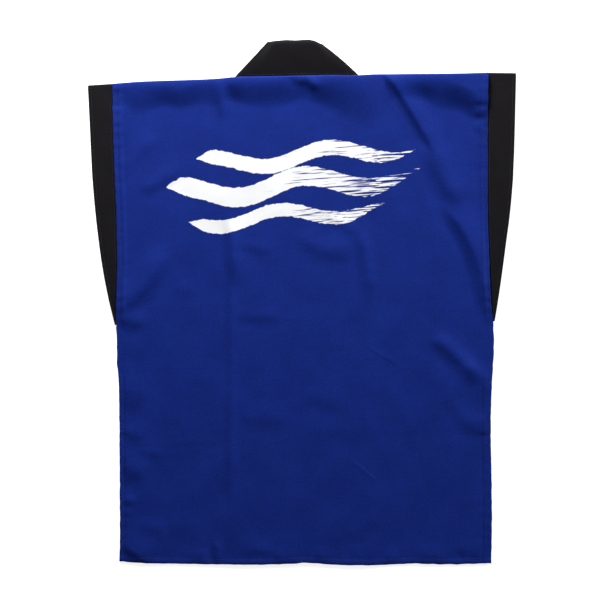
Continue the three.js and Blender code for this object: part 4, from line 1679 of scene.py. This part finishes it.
    def build(self) -> bpy.types.Object:
        """Builds and dresses the collar.

        Returns:
            The collar's object.
        """
        seam, free, height = self.rows()
        across = graded(1.0, self.column_share, [(0.0, self.edge_share), (1.0, self.edge_share)])
        plan = mix(free[:, None], seam[:, None], across[None, :, None])
        bow = self.bow(len(plan))[:, None] * np.sin(math.pi * across)[None]
        plan += bow[..., None] * self.outward(Side.RIGHT)
        z = np.broadcast_to(height[:, None], plan.shape[:2]).copy()
        on_nape = (z > LAYERS.collar_high - 0.01) * 1.0
        wave = self.waviness * Ripples(seed=41, shortest=30, longest=80).at(plan[..., 0], plan[..., 1])
        calm = ease(np.minimum(across, 1.0 - across), 0.0, self.calm_share)[None]
        # Highest near the free edge, and down past the back's edge at the seam
        crown = self.swell * ease(across, -self.crown_share, self.crown_share)
        dip = (self.swell + self.seam_sink) * across**self.dip_curve
        z += on_nape * (wave * calm + (crown - dip)[None] * self.nape_share(len(z))[:, None])
        points = np.concatenate([plan, z[..., None]], axis=2)
        middle = (seam + free) / 2.0
        run = np.concatenate([[0.0], np.cumsum(np.hypot(*np.diff(middle, axis=0).T))])
        wide = across[None] * np.hypot(*(seam - free).T)[:, None]
        cloth = np.stack([wide, np.broadcast_to(run[:, None], wide.shape)], axis=2)
        shell = ClothShell(LAYERS.collar_wall, edge_round=0.7, edge_segments=3)
        piece = shell.build("collar_band", points, cloth, [BLACK_TWILL.material()])
        dress(piece, "collar")
        return piece

    def sew(self, piece: bpy.types.Object, black: Sewing) -> None:
        """Sews the line of topstitching just above the neck seam.

        Args:
            piece: The finished collar.
            black: The sewing in black thread.
        """
        share = np.linspace(self.sewn_from, 1.0 - self.sewn_from, 40)
        seam, free = self.seam(share), self.free(share)
        black.sew(piece, mix(seam, free, (self.seam_tuck + self.topstitch) / self.width))


@dataclass(frozen=True)
class Lamp:
    """A round softbox aimed at the middle of the vest."""

    name: str
    place: tuple[float, float, float]
    size: float
    power: float

    def hang(self) -> None:
        """Makes the lamp."""
        data = bpy.data.lights.new(self.name, "AREA")
        data.shape = "DISK"
        data.size = self.size * MM
        data.energy = self.power
        lamp = bpy.data.objects.new(self.name, data)
        lamp.location = Vector(self.place) * MM
        lamp.rotation_euler = (-Vector(self.place)).to_track_quat("-Z", "Y").to_euler()
        bpy.context.scene.collection.objects.link(lamp)


@dataclass(frozen=True)
class Studio:
    """A pale table, soft light from beyond the collar, and a camera straight above."""

    view_width: float = 960.0
    view_middle: tuple[float, float] = (-3.2, 4.2)
    lens: float = 100.0
    sensor: float = 36.0
    floor_size: float = 6000.0
    table_colour: str = "f6f6f6"
    table_glow: float = 0.8  # keeps the ground an even white
    light_colour: str = "ffffff"  # of the glow and of the even fill
    lamps: tuple[Lamp, ...] = (
        Lamp("key", place=(-400.0, 1765.0, 628.0), size=540.0, power=57.0),
        Lamp("side_light", place=(3298.0, 2117.0, 1001.0), size=1200.0, power=145.0),
    )
    fill: float = 0.10

    def camera(self) -> None:
        """Makes the camera."""
        data = bpy.data.cameras.new("camera")
        data.lens = self.lens
        data.sensor_width = self.sensor
        data.clip_end = 20.0
        camera = bpy.data.objects.new("camera", data)
        height = self.view_width * self.lens / self.sensor
        camera.location = Vector((*self.view_middle, height + LAYERS.back)) * MM
        bpy.context.scene.collection.objects.link(camera)
        bpy.context.scene.camera = camera

    def floor(self) -> None:
        """Makes the pale table top."""
        bm = bmesh.new()
        bmesh.ops.create_grid(bm, x_segments=1, y_segments=1, size=self.floor_size / 2.0 * MM)
        mesh = bpy.data.meshes.new("floor")
        bm.to_mesh(mesh)
        bm.free()
        # Matt white laminate: an even ground with the softest of shadows and no gloss
        material, _, shader = new_material("white_laminate_table")
        shader.inputs["Base Color"].default_value = srgb(self.table_colour)
        shader.inputs["Roughness"].default_value = 0.8
        shader.inputs["Specular IOR Level"].default_value = 0.2
        shader.inputs["Emission Color"].default_value = srgb(self.light_colour)
        shader.inputs["Emission Strength"].default_value = self.table_glow
        mesh.materials.append(material)
        floor = bpy.data.objects.new("floor", mesh)
        bpy.context.scene.collection.objects.link(floor)

    def lights(self) -> None:
        """Makes the soft lamps and the even fill."""
        for lamp in self.lamps:
            lamp.hang()
        world = bpy.data.worlds.new("studio")
        world.use_nodes = True
        background = world.node_tree.nodes["Background"]
        background.inputs["Color"].default_value = srgb(self.light_colour)
        background.inputs["Strength"].default_value = self.fill
        bpy.context.scene.world = world

    def build(self) -> None:
        """Sets up the whole studio."""
        bpy.context.scene.view_settings.view_transform = "Standard"
        self.camera()
        self.floor()
        self.lights()


def main() -> None:
    """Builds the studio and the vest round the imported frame."""
    logging.basicConfig(level=logging.INFO, format="%(name)s: %(message)s")
    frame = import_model()
    Studio().build()
    outlines: dict[str, NodeOutline] = {name: NodeOutline(node) for name, node in frame["nodes"].items()}
    blue = Sewing(BLUE_THREAD, Slot.BLUE)
    black = Sewing(BLACK_THREAD, Slot.BLACK)
    for side in Side:
        FrontPanel(side, outlines[f"front_{side.name.lower()}"]).build()
    back = BackPanel(outlines["back"])
    back.sew(back.build(), blue)
    for side in Side:
        band = ArmBand(side, outlines[f"arm_band_{side.name.lower()}"], outlines["back"])
        band.sew(band.build(), black)
    collar = Collar(outlines["back"])
    collar.sew(collar.build(), black)
    for sewing in (blue, black):
        sewing.finish_piece()


if __name__ == "__main__":
    main()
